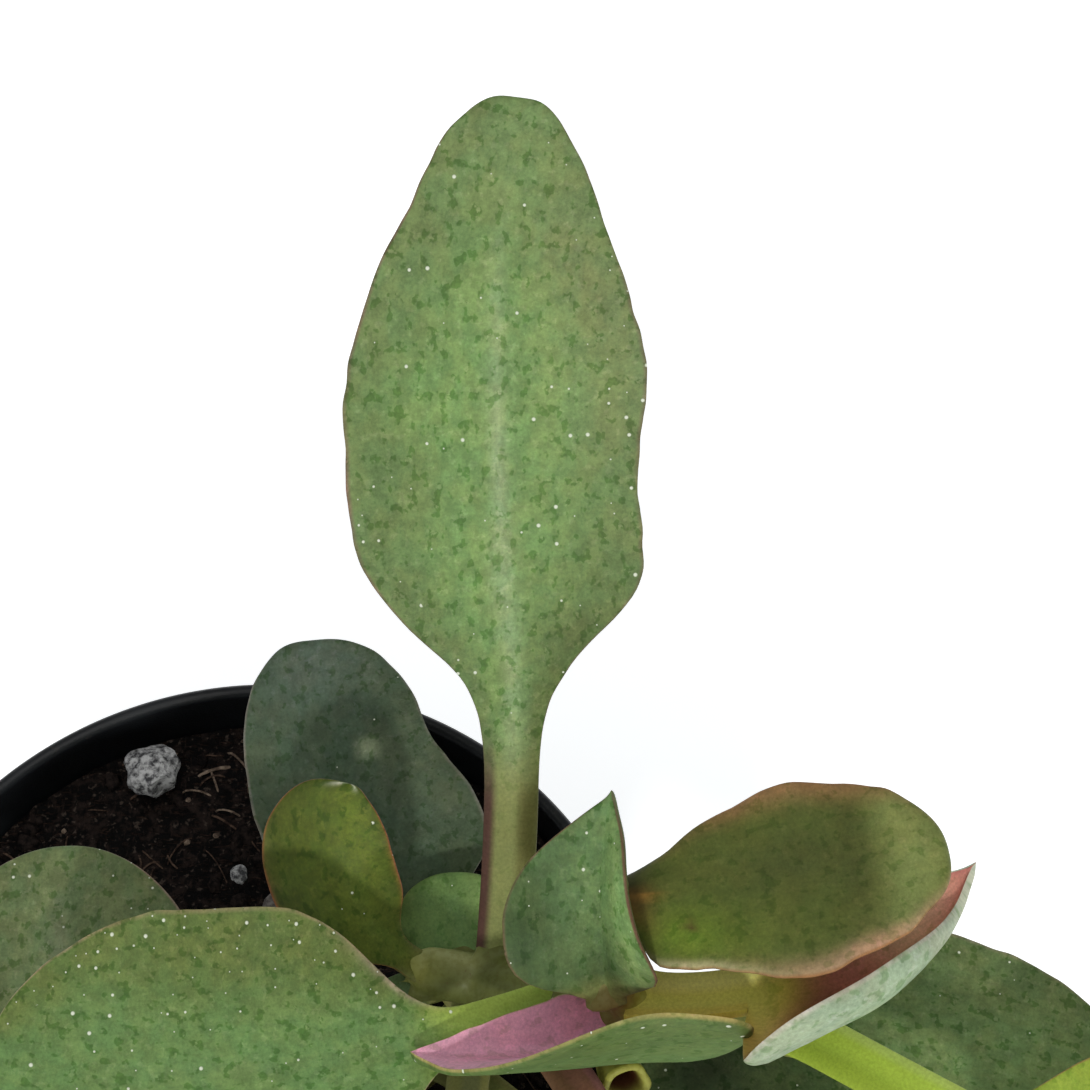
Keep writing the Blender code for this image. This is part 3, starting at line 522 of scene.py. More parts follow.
def set_points(piece, name, values):
    """Store a colour named tone, a vector named place or another number for each point of a piece."""
    kinds = {"tone": ("FLOAT_COLOR", "color"), "place": ("FLOAT_VECTOR", "vector")}
    kind, field = kinds.get(name, ("FLOAT", "value"))
    if name == "tone":
        values = np.hstack([np.clip(values, 0, 1), np.ones((len(values), 1))])
    layer = piece.data.attributes.new(name, kind, "POINT")
    layer.data.foreach_set(field, np.ascontiguousarray(values, np.float32).ravel())


def points_of(piece):
    """The points of a piece, in millimetres."""
    flat = np.empty(3 * len(piece.data.vertices))
    piece.data.vertices.foreach_get("co", flat)
    return flat.reshape(-1, 3) / MM


def apply_modifiers(piece):
    """Replace the piece's mesh by its evaluated one."""
    graph = bpy.context.evaluated_depsgraph_get()
    mesh = bpy.data.meshes.new_from_object(piece.evaluated_get(graph))
    piece.modifiers.clear()
    piece.data = mesh


class Recipe:
    """A material's node tree, built step by step; each step returns the socket that carries its result."""

    def __init__(self, name, specular):
        self.material = bpy.data.materials.new(name)
        self.material.use_nodes = True
        self.tree = self.material.node_tree
        self.shader = self.tree.nodes["Principled BSDF"]
        self.shader.inputs["Specular IOR Level"].default_value = specular

    def feed(self, socket, value):
        """Link a socket to another one, or set its value."""
        if isinstance(value, bpy.types.NodeSocket):
            self.tree.links.new(value, socket)
        elif np.ndim(value) == 1 and len(value) == 3 and socket.type == "RGBA":
            socket.default_value = (*value, 1.0)
        else:
            socket.default_value = value

    def node(self, kind, output=0, settings=None, **inputs):
        """A new node; an input called i6 is the one at place 6."""
        made = self.tree.nodes.new("ShaderNode" + kind)
        for key, value in (settings or {}).items():
            setattr(made, key, value)
        for key, value in inputs.items():
            self.feed(made.inputs[int(key[1:]) if key[1:].isdigit() else key], value)
        return made.outputs[output]

    def attribute(self, name, output="Fac"):
        """A value stored in the points of the piece."""
        return self.node("Attribute", output, {"attribute_name": name})

    def scaled(self, vector, by):
        return self.node("VectorMath", 0, {"operation": "MULTIPLY"}, i0=vector, i1=by)

    def object_mm(self):
        """The place on the piece in millimetres."""
        return self.scaled(self.node("TexCoord", "Object"), (1000, 1000, 1000))

    def math(self, operation, first, second):
        return self.node("Math", 0, {"operation": operation}, i0=first, i1=second)

    def weighted(self, *pairs):
        """The sum of values times their weights."""
        total = 0.0
        for value, weight in pairs:
            total = self.math("ADD", total, self.math("MULTIPLY", value, weight))
        return total

    def noise(self, vector, scale, detail=2.0, roughness=0.5):
        """Noise with its scale per millimetre, its number of finer layers and their strength."""
        return self.node("TexNoise", "Fac", None, Vector=vector, Scale=scale, Detail=detail,
                         Roughness=roughness)

    def step(self, value, low, high, start=0.0, end=1.0):
        """A smooth change from start to end as the value goes from low to high."""
        return self.node("MapRange", 0, {"interpolation_type": "SMOOTHSTEP"}, i0=value, i1=low, i2=high,
                         i3=start, i4=end)

    def blend(self, share, first, second, how="MIX"):
        return self.node("Mix", 2, {"data_type": "RGBA", "blend_type": how}, i0=share, i6=first, i7=second)

    def lay(self, colour, mask, strength, second):
        """A second colour laid over the first by mask times strength."""
        return self.blend(self.math("MULTIPLY", mask, strength), colour, second)

    def times(self, colour, by):
        return self.blend(1.0, colour, by, "MULTIPLY")

    def shaded(self, colour, value):
        """The colour times a brightness."""
        return self.times(colour, self.node("CombineColor", 0, None, Red=value, Green=value, Blue=value))

    def finish(self, colour, roughness, relief=None, depth=0.1, strength=1.0):
        """Join colour, roughness and relief to the shader; depth is the relief's height in millimetres."""
        self.feed(self.shader.inputs["Base Color"], colour)
        self.feed(self.shader.inputs["Roughness"], roughness)
        if relief is not None:
            normal = self.node("Bump", 0, None, Strength=strength, Distance=depth * MM, Height=relief)
            self.feed(self.shader.inputs["Normal"], normal)
        return self.material


def leaf_skin_material(name):
    """Waxy leaf: the painted tone with soft warm and cool clouds, dark spots, pale flecks, dots and grain."""
    make = Recipe(name, specular=0.14)
    place = make.attribute("place", "Vector")
    tone = make.attribute("tone", "Color")
    mottle = make.attribute("mottle")
    drawn = make.scaled(place, (1.0, 0.78, 1.0))
    grain = make.noise(place, 3.0, 3.0, 0.65)
    spot_noise = make.noise(drawn, 0.85, 2.0, 0.55)
    cloud = make.step(make.noise(drawn, 0.3, 4.0, 0.62), 0.38, 0.62)
    clouded = make.blend(cloud, make.times(tone, (1.07, 1.02, 0.95)), make.times(tone, (0.87, 0.96, 0.92)))
    colour = make.lay(tone, mottle, 0.85, clouded)
    deep = make.times(colour, (0.58, 0.71, 0.52))
    pale = make.times(colour, (1.26, 1.16, 1.3))
    colour = make.lay(colour, make.step(spot_noise, 0.55, 0.63), mottle, deep)
    colour = make.lay(colour, make.step(make.noise(place, 0.95, 3.0, 0.6), 0.56, 0.66), mottle, pale)
    colour = make.shaded(colour, make.step(grain, 0.25, 0.75, 0.86, 1.14))
    shade = make.step(make.noise(drawn, 0.7, 4.0, 0.7), 0.35, 0.65, 0.85, 1.15)
    colour = make.blend(mottle, colour, make.shaded(colour, shade))
    dots = make_dots(make, place)
    colour = make.lay(colour, dots, 0.9, paint(226, 232, 212))
    relief = make.weighted((grain, 0.5), (spot_noise, 0.9), (dots, 1.2))
    return make.finish(colour, make.step(grain, 0.25, 0.75, 0.48, 0.62), relief, depth=0.07, strength=0.55)


def make_dots(make, place):
    """Round dots on a leaf: in a flat pattern of cells, a share of the cells holds one dot in its middle."""
    distance = make.node("TexVoronoi", "Distance", {"voronoi_dimensions": "2D"}, Vector=place, Scale=0.55)
    code = distance.node.outputs["Color"]
    chance = make.node("SeparateColor", 0, None, i0=code)
    size = make.node("SeparateColor", 1, None, i0=code)
    radius = make.step(make.math("POWER", size, 2.0), 0.0, 1.0, 0.045, 0.13)
    inside = make.step(make.math("DIVIDE", distance, radius), 0.5, 1.1, 1.0, 0.0)
    return make.math("MULTIPLY", inside, make.math("LESS_THAN", chance, make.attribute("dots")))


def stem_material():
    """Fleshy stem: the painted tone with fine lengthwise streaks and a few brown specks."""
    make = Recipe("stem_skin", specular=0.18)
    place = make.object_mm()
    tone = make.attribute("tone", "Color")
    streak = make.noise(make.scaled(place, (1.0, 1.0, 0.45)), 1.6, 3.0)
    speck = make.step(make.noise(place, 2.6, 1.0), 0.7, 0.78)
    dull = make.times(tone, paint(222, 216, 196))
    colour = make.blend(make.step(streak, 0.4, 0.65, 0.0, 0.55), tone, dull)
    colour = make.lay(colour, speck, 0.45, paint(96, 66, 44))
    return make.finish(colour, make.step(streak, 0.3, 0.7, 0.4, 0.56), streak, depth=0.05, strength=0.5)


def pot_material():
    """Moulded black plastic: a fine pebbled grain, faint scuffs and a little dried soil."""
    make = Recipe("pot_plastic_black", specular=0.3)
    place = make.object_mm()
    cloud = make.noise(place, 0.09, 3.0)
    dust = make.step(make.noise(place, 0.75, 4.0, 0.7), 0.6, 0.78)
    colour = make.blend(make.step(cloud, 0.35, 0.7), paint(16, 18, 20), paint(24, 27, 30))
    colour = make.lay(colour, dust, 0.35, paint(64, 58, 52))
    rough = make.step(make.weighted((cloud, 0.7), (dust, 0.3)), 0.2, 0.8, 0.36, 0.62)
    return make.finish(colour, rough, make.noise(place, 3.4, 2.0), depth=0.1, strength=0.45)


def soil_material():
    """Damp peat: near black, with red-brown fibres and a few paler crumbs."""
    make = Recipe("peat", specular=0.1)
    place = make.object_mm()
    lumps = make.noise(place, 0.55, 5.0, 0.65)
    fibre = make.step(make.noise(make.scaled(place, (0.5, 2.2, 1.0)), 1.2, 4.0, 0.6), 0.55, 0.68)
    cross = make.step(make.noise(make.scaled(place, (2.2, 0.6, 1.0)), 1.1, 4.0, 0.6), 0.57, 0.7)
    crumb = make.step(make.noise(place, 1.5, 3.0), 0.6, 0.68)
    colour = make.blend(make.step(lumps, 0.48, 0.64), paint(10, 9, 9), paint(42, 34, 31))
    colour = make.lay(colour, fibre, 0.5, paint(76, 58, 50))
    colour = make.lay(colour, cross, 0.4, paint(66, 52, 46))
    colour = make.lay(colour, crumb, 0.5, paint(96, 84, 76))
    relief = make.weighted((lumps, 1.0), (fibre, 0.4))
    return make.finish(colour, make.step(lumps, 0.3, 0.7, 0.7, 0.95), relief, depth=0.9, strength=0.8)


def grainy_material(name, dark, light):
    """A rough grain of two shades with dark pores."""
    make = Recipe(name, specular=0.1)
    place = make.object_mm()
    shades = make.noise(place, 1.1, 4.0, 0.65)
    pores = make.step(make.noise(place, 2.4, 2.0), 0.56, 0.7)
    colour = make.blend(make.step(shades, 0.36, 0.62), paint(*dark), paint(*light))
    colour = make.lay(colour, pores, 0.35, paint(*dark))
    return make.finish(colour, 0.9, make.weighted((shades, 1.0), (pores, -0.4)), depth=0.3, strength=0.8)


def paper_material():
    """Pale matt paper that glows a little, so that it stays light under the plant."""
    make = Recipe("paper", specular=0.1)
    cloud = make.noise(make.object_mm(), 0.02, 2.0)
    make.feed(make.shader.inputs["Emission Color"], paint(250, 253, 255))
    make.feed(make.shader.inputs["Emission Strength"], PAPER_GLOW)
    return make.finish(make.blend(cloud, paint(246, 247, 248), paint(250, 251, 252)), 0.9)


def half_width(leaf, distance, side):
    """Half width: the stalk, a flare x^n / (x^n + (w(1-x))^n) to the widest place, then cos^b to the tip.

    Near the stem the stalk widens to clasp it, and small teeth and dents run along the margin.
    """
    u = np.clip((distance - leaf.stalk) / leaf.blade, 0, 1)
    widest = leaf.half[side > 0]
    x = np.clip(u / leaf.widest, 0, 1)
    flared = x ** leaf.flare / (x ** leaf.flare + (leaf.waist[side > 0] * (1 - x)) ** leaf.flare + 1e-12)
    beyond = np.clip((u - leaf.widest) / (1 - leaf.widest), 0, 1)
    rounded = np.cos(np.pi / 2 * beyond).clip(0, 1) ** leaf.blunt
    opening = leaf.stalk_half + (widest - leaf.stalk_half) * flared
    width = np.where(u < leaf.widest, opening, widest * rounded)
    for place, height, spread in leaf.swell[side > 0]:
        width = width + height * np.exp(-((u - place) / spread) ** 2) * np.clip((1 - u) / 0.1, 0, 1)
    strip = np.stack([distance, 0 * distance + 20 * side, 0 * distance + len(leaf.name)], -1)
    width = width + leaf.frill * wander_sum(strip, TEETH) * smooth(u, 0.04, 0.25) * smooth(1 - u, 0.0, 0.05)
    return width + CLASP * np.exp(-(distance / CLASP_FADES) ** 2)


def midrib(leaf, distance):
    """Points of the midrib and the sideways and upward directions there, for a leaf heading north.

    The slope goes evenly from rise to tip_rise, the bearing turns by sweep t^late plus a slow weave,
    and the points are the running sum of the small steps.
    """
    length = leaf.stalk + leaf.blade
    t = np.linspace(0, 1, FINE)
    slope = np.radians(leaf.rise + (leaf.tip_rise - leaf.rise) * t)
    turn = np.radians(leaf.sweep * t ** leaf.late + leaf.weave * np.cos(2 * np.pi * t))
    forward = np.stack([np.sin(turn) * np.cos(slope), np.cos(turn) * np.cos(slope), np.sin(slope)], 1)
    steps = (forward[1:] + forward[:-1]) / 2 * length / (FINE - 1)
    walked = np.vstack([np.zeros(3), np.cumsum(steps, axis=0)])
    share = distance / length
    centre, heading = (np.stack([np.interp(share, t, rows[:, k]) for k in range(3)], -1)
                       for rows in (walked, forward))
    bearing = np.interp(share, t, turn)
    level = np.stack([np.cos(bearing), -np.sin(bearing), 0 * bearing], -1)
    above = np.cross(level, heading)
    roll = np.radians(leaf.roll)
    return centre, level * np.cos(roll) + above * np.sin(roll), above * np.cos(roll) - level * np.sin(roll)


def off_midrib(centre, sideways, upward, across, lift):
    """Points that lie across and above each point of a midrib by the given distances."""
    return centre[:, None] + across[..., None] * sideways[:, None] + lift[..., None] * upward[:, None]


def to_plant(leaf, points):
    """Turn a leaf that heads north to its own heading, and move it to its base."""
    angle = -np.radians(leaf.heading)
    turned = np.stack([points[..., 0] * np.cos(angle) - points[..., 1] * np.sin(angle),
                       points[..., 0] * np.sin(angle) + points[..., 1] * np.cos(angle), points[..., 2]], -1)
    return turned + np.asarray(leaf.base, float)


def body_of(u):
    """Thickness at the midrib: the stalk's, falling as (1 - u)^6 to the blade's."""
    return BLADE + (STALK - BLADE) * (1 - u) ** 6


def half_sheet(leaf, distance, u, half, side):
    """One half of the middle sheet: how far out and up it lies, its lean, and the width along it.

    It is an arc whose slope is fold + cup |v| times a hump along the blade, summed up from the midrib,
    where the fold sets in softly. The margin lifts by ripple v^2 sin.
    """
    hump = np.sin(np.pi * (u * 0.92 + 0.04)) ** 0.5
    fold = leaf.fold[side > 0] * (1 - np.exp(-half / FOLD_ROUND))
    slope = np.radians(fold[None] + leaf.cup[side > 0] * half[None]) * hump[:, None]
    width = half_width(leaf, distance, side)[:, None]
    step = np.diff(half)[None] * width
    start = np.zeros((len(u), 1))
    out, lift = (np.hstack([start, np.cumsum((way[:, 1:] + way[:, :-1]) / 2 * step, axis=1)])
                 for way in (np.cos(slope), np.sin(slope)))
    wave = np.sin(2 * np.pi * RIPPLES * u + side) * np.sin(np.pi * u)
    lift = lift + leaf.ripple * half[None] ** 2 * wave[:, None]
    return side * out, lift, side * slope, width * side * half[None]


def leaf_grid(leaf):
    """Rings round a leaf, with the distance along it, the place across it and which side each point is on.

    An ear draws the left margin back by ear v^2 (u/p) exp(1 - u/p), and a notch dents the tip. The
    thickness is edge (1 - |v|^10)^0.5 + (body - edge)(1 - v^2), and it closes over the last part of the
    tip. A groove runs along the midrib, and low bulges over the faces.
    """
    length = leaf.stalk + leaf.blade
    t = np.linspace(0, 1, int(np.clip(length / ROW, *ROWS)))
    distance = LEAF_START + (length - LEAF_START) * (1 - (1 - t) ** ROW_BIAS)
    distance[-1] = length - TIP_CUT
    u = np.clip((distance - leaf.stalk) / leaf.blade, 0, 1)
    centre, sideways, upward = midrib(leaf, distance)
    half = np.sin(np.pi / 2 * np.linspace(0, 1, HALF_COLUMNS + 1))
    left, right = (half_sheet(leaf, distance, u, half, side) for side in (-1, 1))
    out, lift, lean, across = (np.hstack([one[:, :0:-1], other]) for one, other in zip(left, right))
    v = np.concatenate([-half[:0:-1], half])
    gone = np.clip(1 - (length - distance) / TIP_ROUND, 0, 1)
    rounding = np.sqrt(1 - gone ** 2)[:, None]
    body = body_of(u)[:, None]
    thick = (EDGE * np.sqrt(1 - np.abs(v) ** 10)[None] + (body - EDGE) * (1 - v ** 2)[None]) * rounding
    sheet = off_midrib(centre, sideways, upward, out, lift)
    back = leaf.ear * (u / EAR_PLACE) * np.exp(1 - u / EAR_PLACE)
    sheet -= (back[:, None] * np.minimum(v, 0) ** 2)[..., None] * np.cross(upward, sideways)[:, None]
    sheet[..., 1] -= leaf.notch * np.exp(-(across / NOTCH_HALF) ** 2) * smooth(u, 0.93, 1.0)[:, None]
    normal = np.cos(lean)[..., None] * upward[:, None] - np.sin(lean)[..., None] * sideways[:, None]
    calm = (smooth(u, 0.0, 0.15) * smooth(1 - u, 0.0, 0.08))[:, None]
    swell = wander_sum(sheet, BULGES) * calm * (1 - np.abs(v) ** 4)[None]
    fading = (1 - 0.75 * smooth(u, 0.0, 0.6))[:, None]
    groove = GROOVE * np.exp(-(across / GROOVE_HALF) ** 2) * fading * rounding
    upper = sheet + normal * (leaf.over * thick + swell - groove)[..., None]
    lower = sheet - normal * ((1 - leaf.over) * thick - swell)[..., None]
    ring = np.hstack([upper, lower[:, -2:0:-1]])
    columns = np.concatenate([v, v[-2:0:-1]])
    widths = np.hstack([across, across[:, -2:0:-1]])
    is_upper = np.concatenate([np.ones(len(v)), np.zeros(len(v) - 2)])
    return ring, distance, u, columns, widths, is_upper


def leaf_tone(finish, u, v, across, is_upper, rings):
    """Colour of each point: blade, patches, midrib band, stalk and rim above, and the underside below."""
    u = u[:, None] + 0 * across
    v = v[None] + 0 * across
    patchy = wander(rings, 7.0, 8)
    tone = mix(paint(*finish.middle), paint(*finish.outer), smooth(np.abs(v) + 0.22 * patchy, 0.25, 0.95))
    below = paint(*finish.under) + 0 * tone
    for target, patches in ((tone, finish.patches), (below, finish.under_patches)):
        for at_u, at_v, spread_u, spread_v, colour, strength in patches:
            near = np.exp(-((u - at_u) / spread_u) ** 2 - ((v - at_v) / spread_v) ** 2)
            target[:] = mix(target, paint(*colour), np.clip(strength * near * (1 + 0.4 * patchy), 0, 1))
    ragged = wander(np.stack([across, 8 * u, 0 * u], -1), 1.2, 9)
    reach = finish.band_width * (1.25 - 0.9 * u)
    band = np.exp(-((across + 0.5 * ragged) / reach) ** 2) * (1 - smooth(u, 0.5, 0.95))
    tone = mix(tone, paint(*finish.band), np.clip(finish.band_strength * band * (1 + 0.7 * ragged), 0, 1))
    stalk = mix(paint(*finish.stalk), paint(*finish.stalk_left), smooth(-v, 0.45, 0.8))
    stalk = mix(stalk, paint(*finish.stalk_right), smooth(v, 0.05, 0.5))
    on_stalk = 1 - smooth(u, 0.0, 0.16)
    tone = mix(tone, stalk, on_stalk * (1 - 0.8 * smooth(np.abs(across), 2.5, 5.0)))
    below = mix(below, stalk, 0.8 * on_stalk)
    colour = np.where(is_upper[None, :, None] > 0.5, tone, below)
    rim = smooth(np.abs(v), 0.965, 0.998) * smooth(u, 0.02, 0.15)
    colour = mix(colour, paint(*finish.rim), np.clip(rim * (0.75 + 0.5 * patchy), 0, 1))
    return colour * (1 + 0.07 * wander(rings, 3.1, 12))[..., None]


def make_leaf(leaf, skins):
    """The dressed leaf, which stands for the CAD leaf of its name."""
    finish = FINISHES.get(leaf.name, DARK if leaf.slot == "leaf_dark" else GREEN)
    ring, distance, u, v, across, is_upper = leaf_grid(leaf)
    verts, faces = skin(to_plant(leaf, ring))
    made = new_piece(leaf.name + "_skin", verts, faces, skins[leaf.slot], leaf.slot)
    blade = smooth(u, 0.0, 0.12)[:, None] + 0 * across
    near_rim = smooth(np.abs(v), 0.55, 0.85)[None]
    layers = {
        "place": np.stack([across + UNDER_SHIFT * (1 - is_upper)[None], distance[:, None] + 0 * across,
                           0 * across], -1),
        "tone": leaf_tone(finish, u, v, across, is_upper, ring),
        "mottle": finish.mottle * (0.25 + 0.75 * blade) * (0.65 + 0.35 * is_upper[None]),
        "dots": finish.dots * blade * (0.09 + 0.24 * near_rim) * (0.3 + 0.7 * is_upper[None]),
    }
    for name, values in layers.items():
        values = values.reshape(len(verts) - 2, -1)
        set_points(made, name, np.vstack([values, values[:1], values[-1:]]))
    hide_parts(leaf.name)


def smooth_path(points, step):
    """A Catmull-Rom curve through the points, as rows of x, y, z and radius, about a step apart."""
    rows = np.asarray(points, float)
    padded = np.vstack([2 * rows[0] - rows[1], rows, 2 * rows[-1] - rows[-2]])
    path = []
    for before, start, end, after in zip(padded, padded[1:], padded[2:], padded[3:]):
        count = max(1, int(round(np.linalg.norm(end[:3] - start[:3]) / step)))
        t = (np.arange(count) / count)[:, None]
        path.append(0.5 * (2 * start + (end - before) * t
                           + (2 * before - 5 * start + 4 * end - after) * t ** 2
                           + (3 * start - before - 3 * end + after) * t ** 3))
    path.append(rows[-1:])
    return np.vstack(path)


def tube_rings(path, sides):
    """Circles of the path's radius, square to the path."""
    along = unit(np.gradient(path[:, :3], axis=0))
    first = unit(np.cross(along, (0.35, 0.93, 0.1)))
    second = np.cross(along, first)
    angle = turns(sides)
    ring = first[:, None] * np.cos(angle)[None, :, None] + second[:, None] * np.sin(angle)[None, :, None]
    return path[:, None, :3] + path[:, 3, None, None] * ring


def sleeve_rings(leaf):
    """Ovals round the first part of a leaf's stalk: a little larger at the stem, shrinking into the stalk."""
    reach = min(SLEEVE, leaf.stalk + SHORT_SLEEVE)
    distance = np.linspace(0, reach, 12)
    centre, sideways, upward = midrib(leaf, distance)
    end = (distance / reach)[:, None]
    thick = body_of(np.clip((distance - leaf.stalk) / leaf.blade, 0, 1))[:, None]
    wide = np.minimum(half_width(leaf, distance, 1), leaf.stalk_half + CLASP)[:, None]
    wide = wide * (1.08 - 0.3 * end ** 2)
    deep = thick / 2 * (1.3 - 0.75 * end)
    centre = centre + upward * (leaf.over - 0.5) * thick
    angle = turns(STEM_SIDES)
    return to_plant(leaf, off_midrib(centre, sideways, upward, wide * np.cos(angle), deep * np.sin(angle)))


def foot_rings(leaf):
    """The broad foot of a leaf: flat ovals across its stalk that reach out left as e^(-d/fade) does."""
    distance = np.linspace(0, FOOT_LENGTH, 24)
    centre, sideways, upward = midrib(leaf, distance)
    out = FOOT_OUT * np.exp(-distance / FOOT_FADE) + FOOT_SLOPE * np.exp(-distance / (3 * FOOT_FADE))
    sunk = 0.25 - 0.6 * smooth(distance, 1.5, FOOT_LENGTH)
    centre = centre - (out / 2)[:, None] * sideways + (sunk * STALK)[:, None] * upward
    angle = turns(2 * STEM_SIDES)
    across = (leaf.stalk_half * 0.9 + out / 2)[:, None] * np.cos(angle)
    lift = FOOT_THICK / 2 * np.sin(angle) + FOOT_CURL * (across / FOOT_OUT) ** 2
    return to_plant(leaf, off_midrib(centre, sideways, upward, across, lift))


def nearest_stem(leaf):
    """Name of the stem whose axis passes nearest to the leaf's start."""
    def distance(name):
        paths = [smooth_path(branch, 1.0)[:, :3] for branch in STEMS[name]]
        return away(np.vstack(paths), leaf.base).min()
    return min(STEMS, key=distance)


def tip_leaves(name):
    """A pair of unopened leaves at a small stem's tip."""
    x, y, z, _ = STEMS[name][0][-1]
    half = 0.32 * BUD_LENGTH
    return [Leaf(name + "_bud", "stem_green", (x, y, z - 2.4), BUD_HEADING + turn, 0, 70, 35, 0, BUD_LENGTH,
                 (half, half), widest=0.5, blunt=0.6, stalk_half=1.1, cup=(30, 30), ripple=0)
            for turn in (0, 180)]


def stem_tone(points):
    """Olive green, yellower at the joints, shaded in the tall leaf's foot, and browner near the soil."""
    height = points[:, 2]

    def laid(tone, place, reach, power, colour, strength, share=1.0):
        near = np.exp(-(away(points, place) / reach) ** power)
        return mix(tone, paint(*colour), strength * near * share)

    tone = mix(paint(112, 118, 62) + 0 * points, paint(96, 80, 50), 0.8 * (1 - smooth(height, 69, 84)))
    for spot in (*PALE_JOINTS, FOOT_CUP_SHADE):
        tone = laid(tone, *spot)
    # Painted deep shade at the bottom of the foot, fading out between the CUP_FLOOR heights.
    tone = laid(tone, *FOOT_CUP_SHADE[:3], (52, 56, 28), 0.8, 1 - smooth(height, *CUP_FLOOR))
    for spot in (*LEAF_FEET, *PALE_LIP):
        tone = laid(tone, *spot)
    brown = smooth(wander(points, 3.4, 14), 0.25, 0.7) * (1 - smooth(height, 84, 92))
    return mix(tone, paint(104, 82, 54), 0.5 * brown)


def make_stem(name, skin_material):
    """One fleshy stem: its branches and the sleeves of its leaves, fused by a fine remesh and smoothed."""
    leaves = [leaf for leaf in LEAVES if nearest_stem(leaf) == name]
    forms = [tube_rings(smooth_path(branch, STEM_STEP), STEM_SIDES) for branch in STEMS[name]]
    forms += [sleeve_rings(leaf) for leaf in leaves]
    forms += [foot_rings(leaf) for leaf in leaves if leaf.name == FOOT_LEAF]
    if name in BUDDED:
        forms += [to_plant(bud, leaf_grid(bud)[0]) for bud in tip_leaves(name)]
    made = new_piece(name + "_skin", *joined(forms), skin_material, "stem_green")
    remesh = made.modifiers.new("fuse", "REMESH")
    remesh.mode = "VOXEL"
    remesh.voxel_size = VOXEL * MM
    remesh.use_smooth_shade = True
    ease = made.modifiers.new("ease", "SMOOTH")
    ease.factor = 0.5
    ease.iterations = EASING
    apply_modifiers(made)
    set_points(made, "tone", stem_tone(points_of(made)))
    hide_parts(name)


def make_stub(skin_material):
    """The old shoot's cut end: an outer wall, a rounded lip and a bore that narrows inwards."""
    start, end = np.asarray(STUB_START), np.asarray(STUB_END)
    length = np.linalg.norm(end - start)
    along = unit(end - start)
    first = unit(np.cross(along, (0, 0, 1)))
    second = np.cross(along, first)
    shape = smooth_path([(share * length + more, radius, 0, 0) for share, more, radius in STUB_SHAPE], 0.3)
    angle = turns(STEM_SIDES)
    wobble = 1 + 0.05 * np.sin(3 * angle + 1) + 0.04 * np.sin(5 * angle)
    round_out = first * np.cos(angle)[:, None] + second * np.sin(angle)[:, None]
    rings = start + shape[:, 0, None, None] * along + (shape[:, 1, None] * wobble)[..., None] * round_out
    made = new_piece("stub_skin", *skin(rings), skin_material, "stem_green")
    inside = smooth(np.arange(len(shape)), len(shape) * 0.55, len(shape) * 0.75)
    deep = np.concatenate([np.repeat(inside, STEM_SIDES), [0, 1]])
    set_points(made, "tone", mix(paint(146, 146, 66) + 0 * points_of(made), paint(66, 38, 20), deep))


def inner_radius(height):
    """Radius of the pot's inner wall at a height."""
    share = (height - FLOOR) / (POT_HEIGHT - LIP_HEIGHT - FLOOR)
    foot = BASE_RADIUS - WALL
    return foot + (RIM_RADIUS - LIP_STEP - WALL - foot) * np.clip(share, 0.0, 1.0)


def spun(profile, sides):
    """Rings of a profile of (radius, height) round the z axis."""
    rows = np.asarray(profile, float)
    angle = turns(sides)
    return np.stack([rows[:, 0, None] * np.cos(angle), rows[:, 0, None] * np.sin(angle),
                     rows[:, 1, None] + 0 * angle], -1)


def make_pot(plastic):
    """A turned shell with a stepped skirt and a rolled lip, and drainage holes cut through its floor."""
    skirt = POT_HEIGHT - LIP_HEIGHT
    half_lip = LIP_WIDTH / 2
    lip = [(RIM_RADIUS - half_lip + half_lip * np.cos(a), POT_HEIGHT - half_lip + half_lip * np.sin(a))
           for a in np.linspace(0, np.pi, 13)]
    foot = [(BASE_RADIUS - FOOT_ROUND + FOOT_ROUND * np.sin(a), FOOT_ROUND - FOOT_ROUND * np.cos(a))
            for a in np.linspace(0, np.pi / 2, 5)]
    shoulder = RIM_RADIUS - LIP_STEP
    outer = [(BASE_RADIUS + (shoulder - BASE_RADIUS) * t, FOOT_ROUND + (skirt - 2.0) * t)
             for t in np.linspace(0, 1, 9)]
    inner = [(inner_radius(z), z) for z in np.linspace(skirt, FLOOR + 0.6, 9)]
    profile = [(0.02, 0), (12, 0), (20, 0), (28, 0), *foot, *outer[1:], (shoulder + 0.5, skirt - 0.75),
               (RIM_RADIUS - 0.35, skirt - 0.1), (RIM_RADIUS - 0.05, skirt + 0.3), (RIM_RADIUS, skirt + 2),
               (RIM_RADIUS, skirt + 5), *lip, (RIM_RADIUS - LIP_WIDTH, skirt + 4), *inner,
               (BASE_RADIUS - WALL - 0.6, FLOOR), (20, FLOOR), (0.02, FLOOR)]
    made = new_piece("pot_shell", *skin(spun(profile, POT_SIDES)), plastic, "pot_plastic", 40)
    drill = spun([(DRAIN_RADIUS, -3 * FLOOR), (DRAIN_RADIUS, 3 * FLOOR)], 32)
    places = [(DRAIN_CIRCLE * np.cos(angle), DRAIN_CIRCLE * np.sin(angle), 0) for angle in turns(DRAIN_COUNT)]
    drills = new_piece("drain_cutter", *joined([drill + place for place in places]), plastic)
    cut = made.modifiers.new("drains", "BOOLEAN")
    cut.operation = "DIFFERENCE"
    cut.solver = "EXACT"
    cut.object = drills
    apply_modifiers(made)
    bpy.data.objects.remove(drills, do_unlink=True)
    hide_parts("pot")


def soil_height(x, y):
    """Height of the surface: broad swells, ridged lumps, grit, and a slight fall to the wall."""
    flat = np.stack([x, y, 0 * x + 3.0], -1)
    height, size, layer = SOIL_LUMPS
    lumps = wander_sum(flat, SOIL_SWELLS) + height * np.abs(wander(flat, size, layer))
    return SOIL_TOP + lumps + wander_sum(flat, [SOIL_GRIT]) - SOIL_FALL * (np.hypot(x, y) / RIM_RADIUS) ** 3


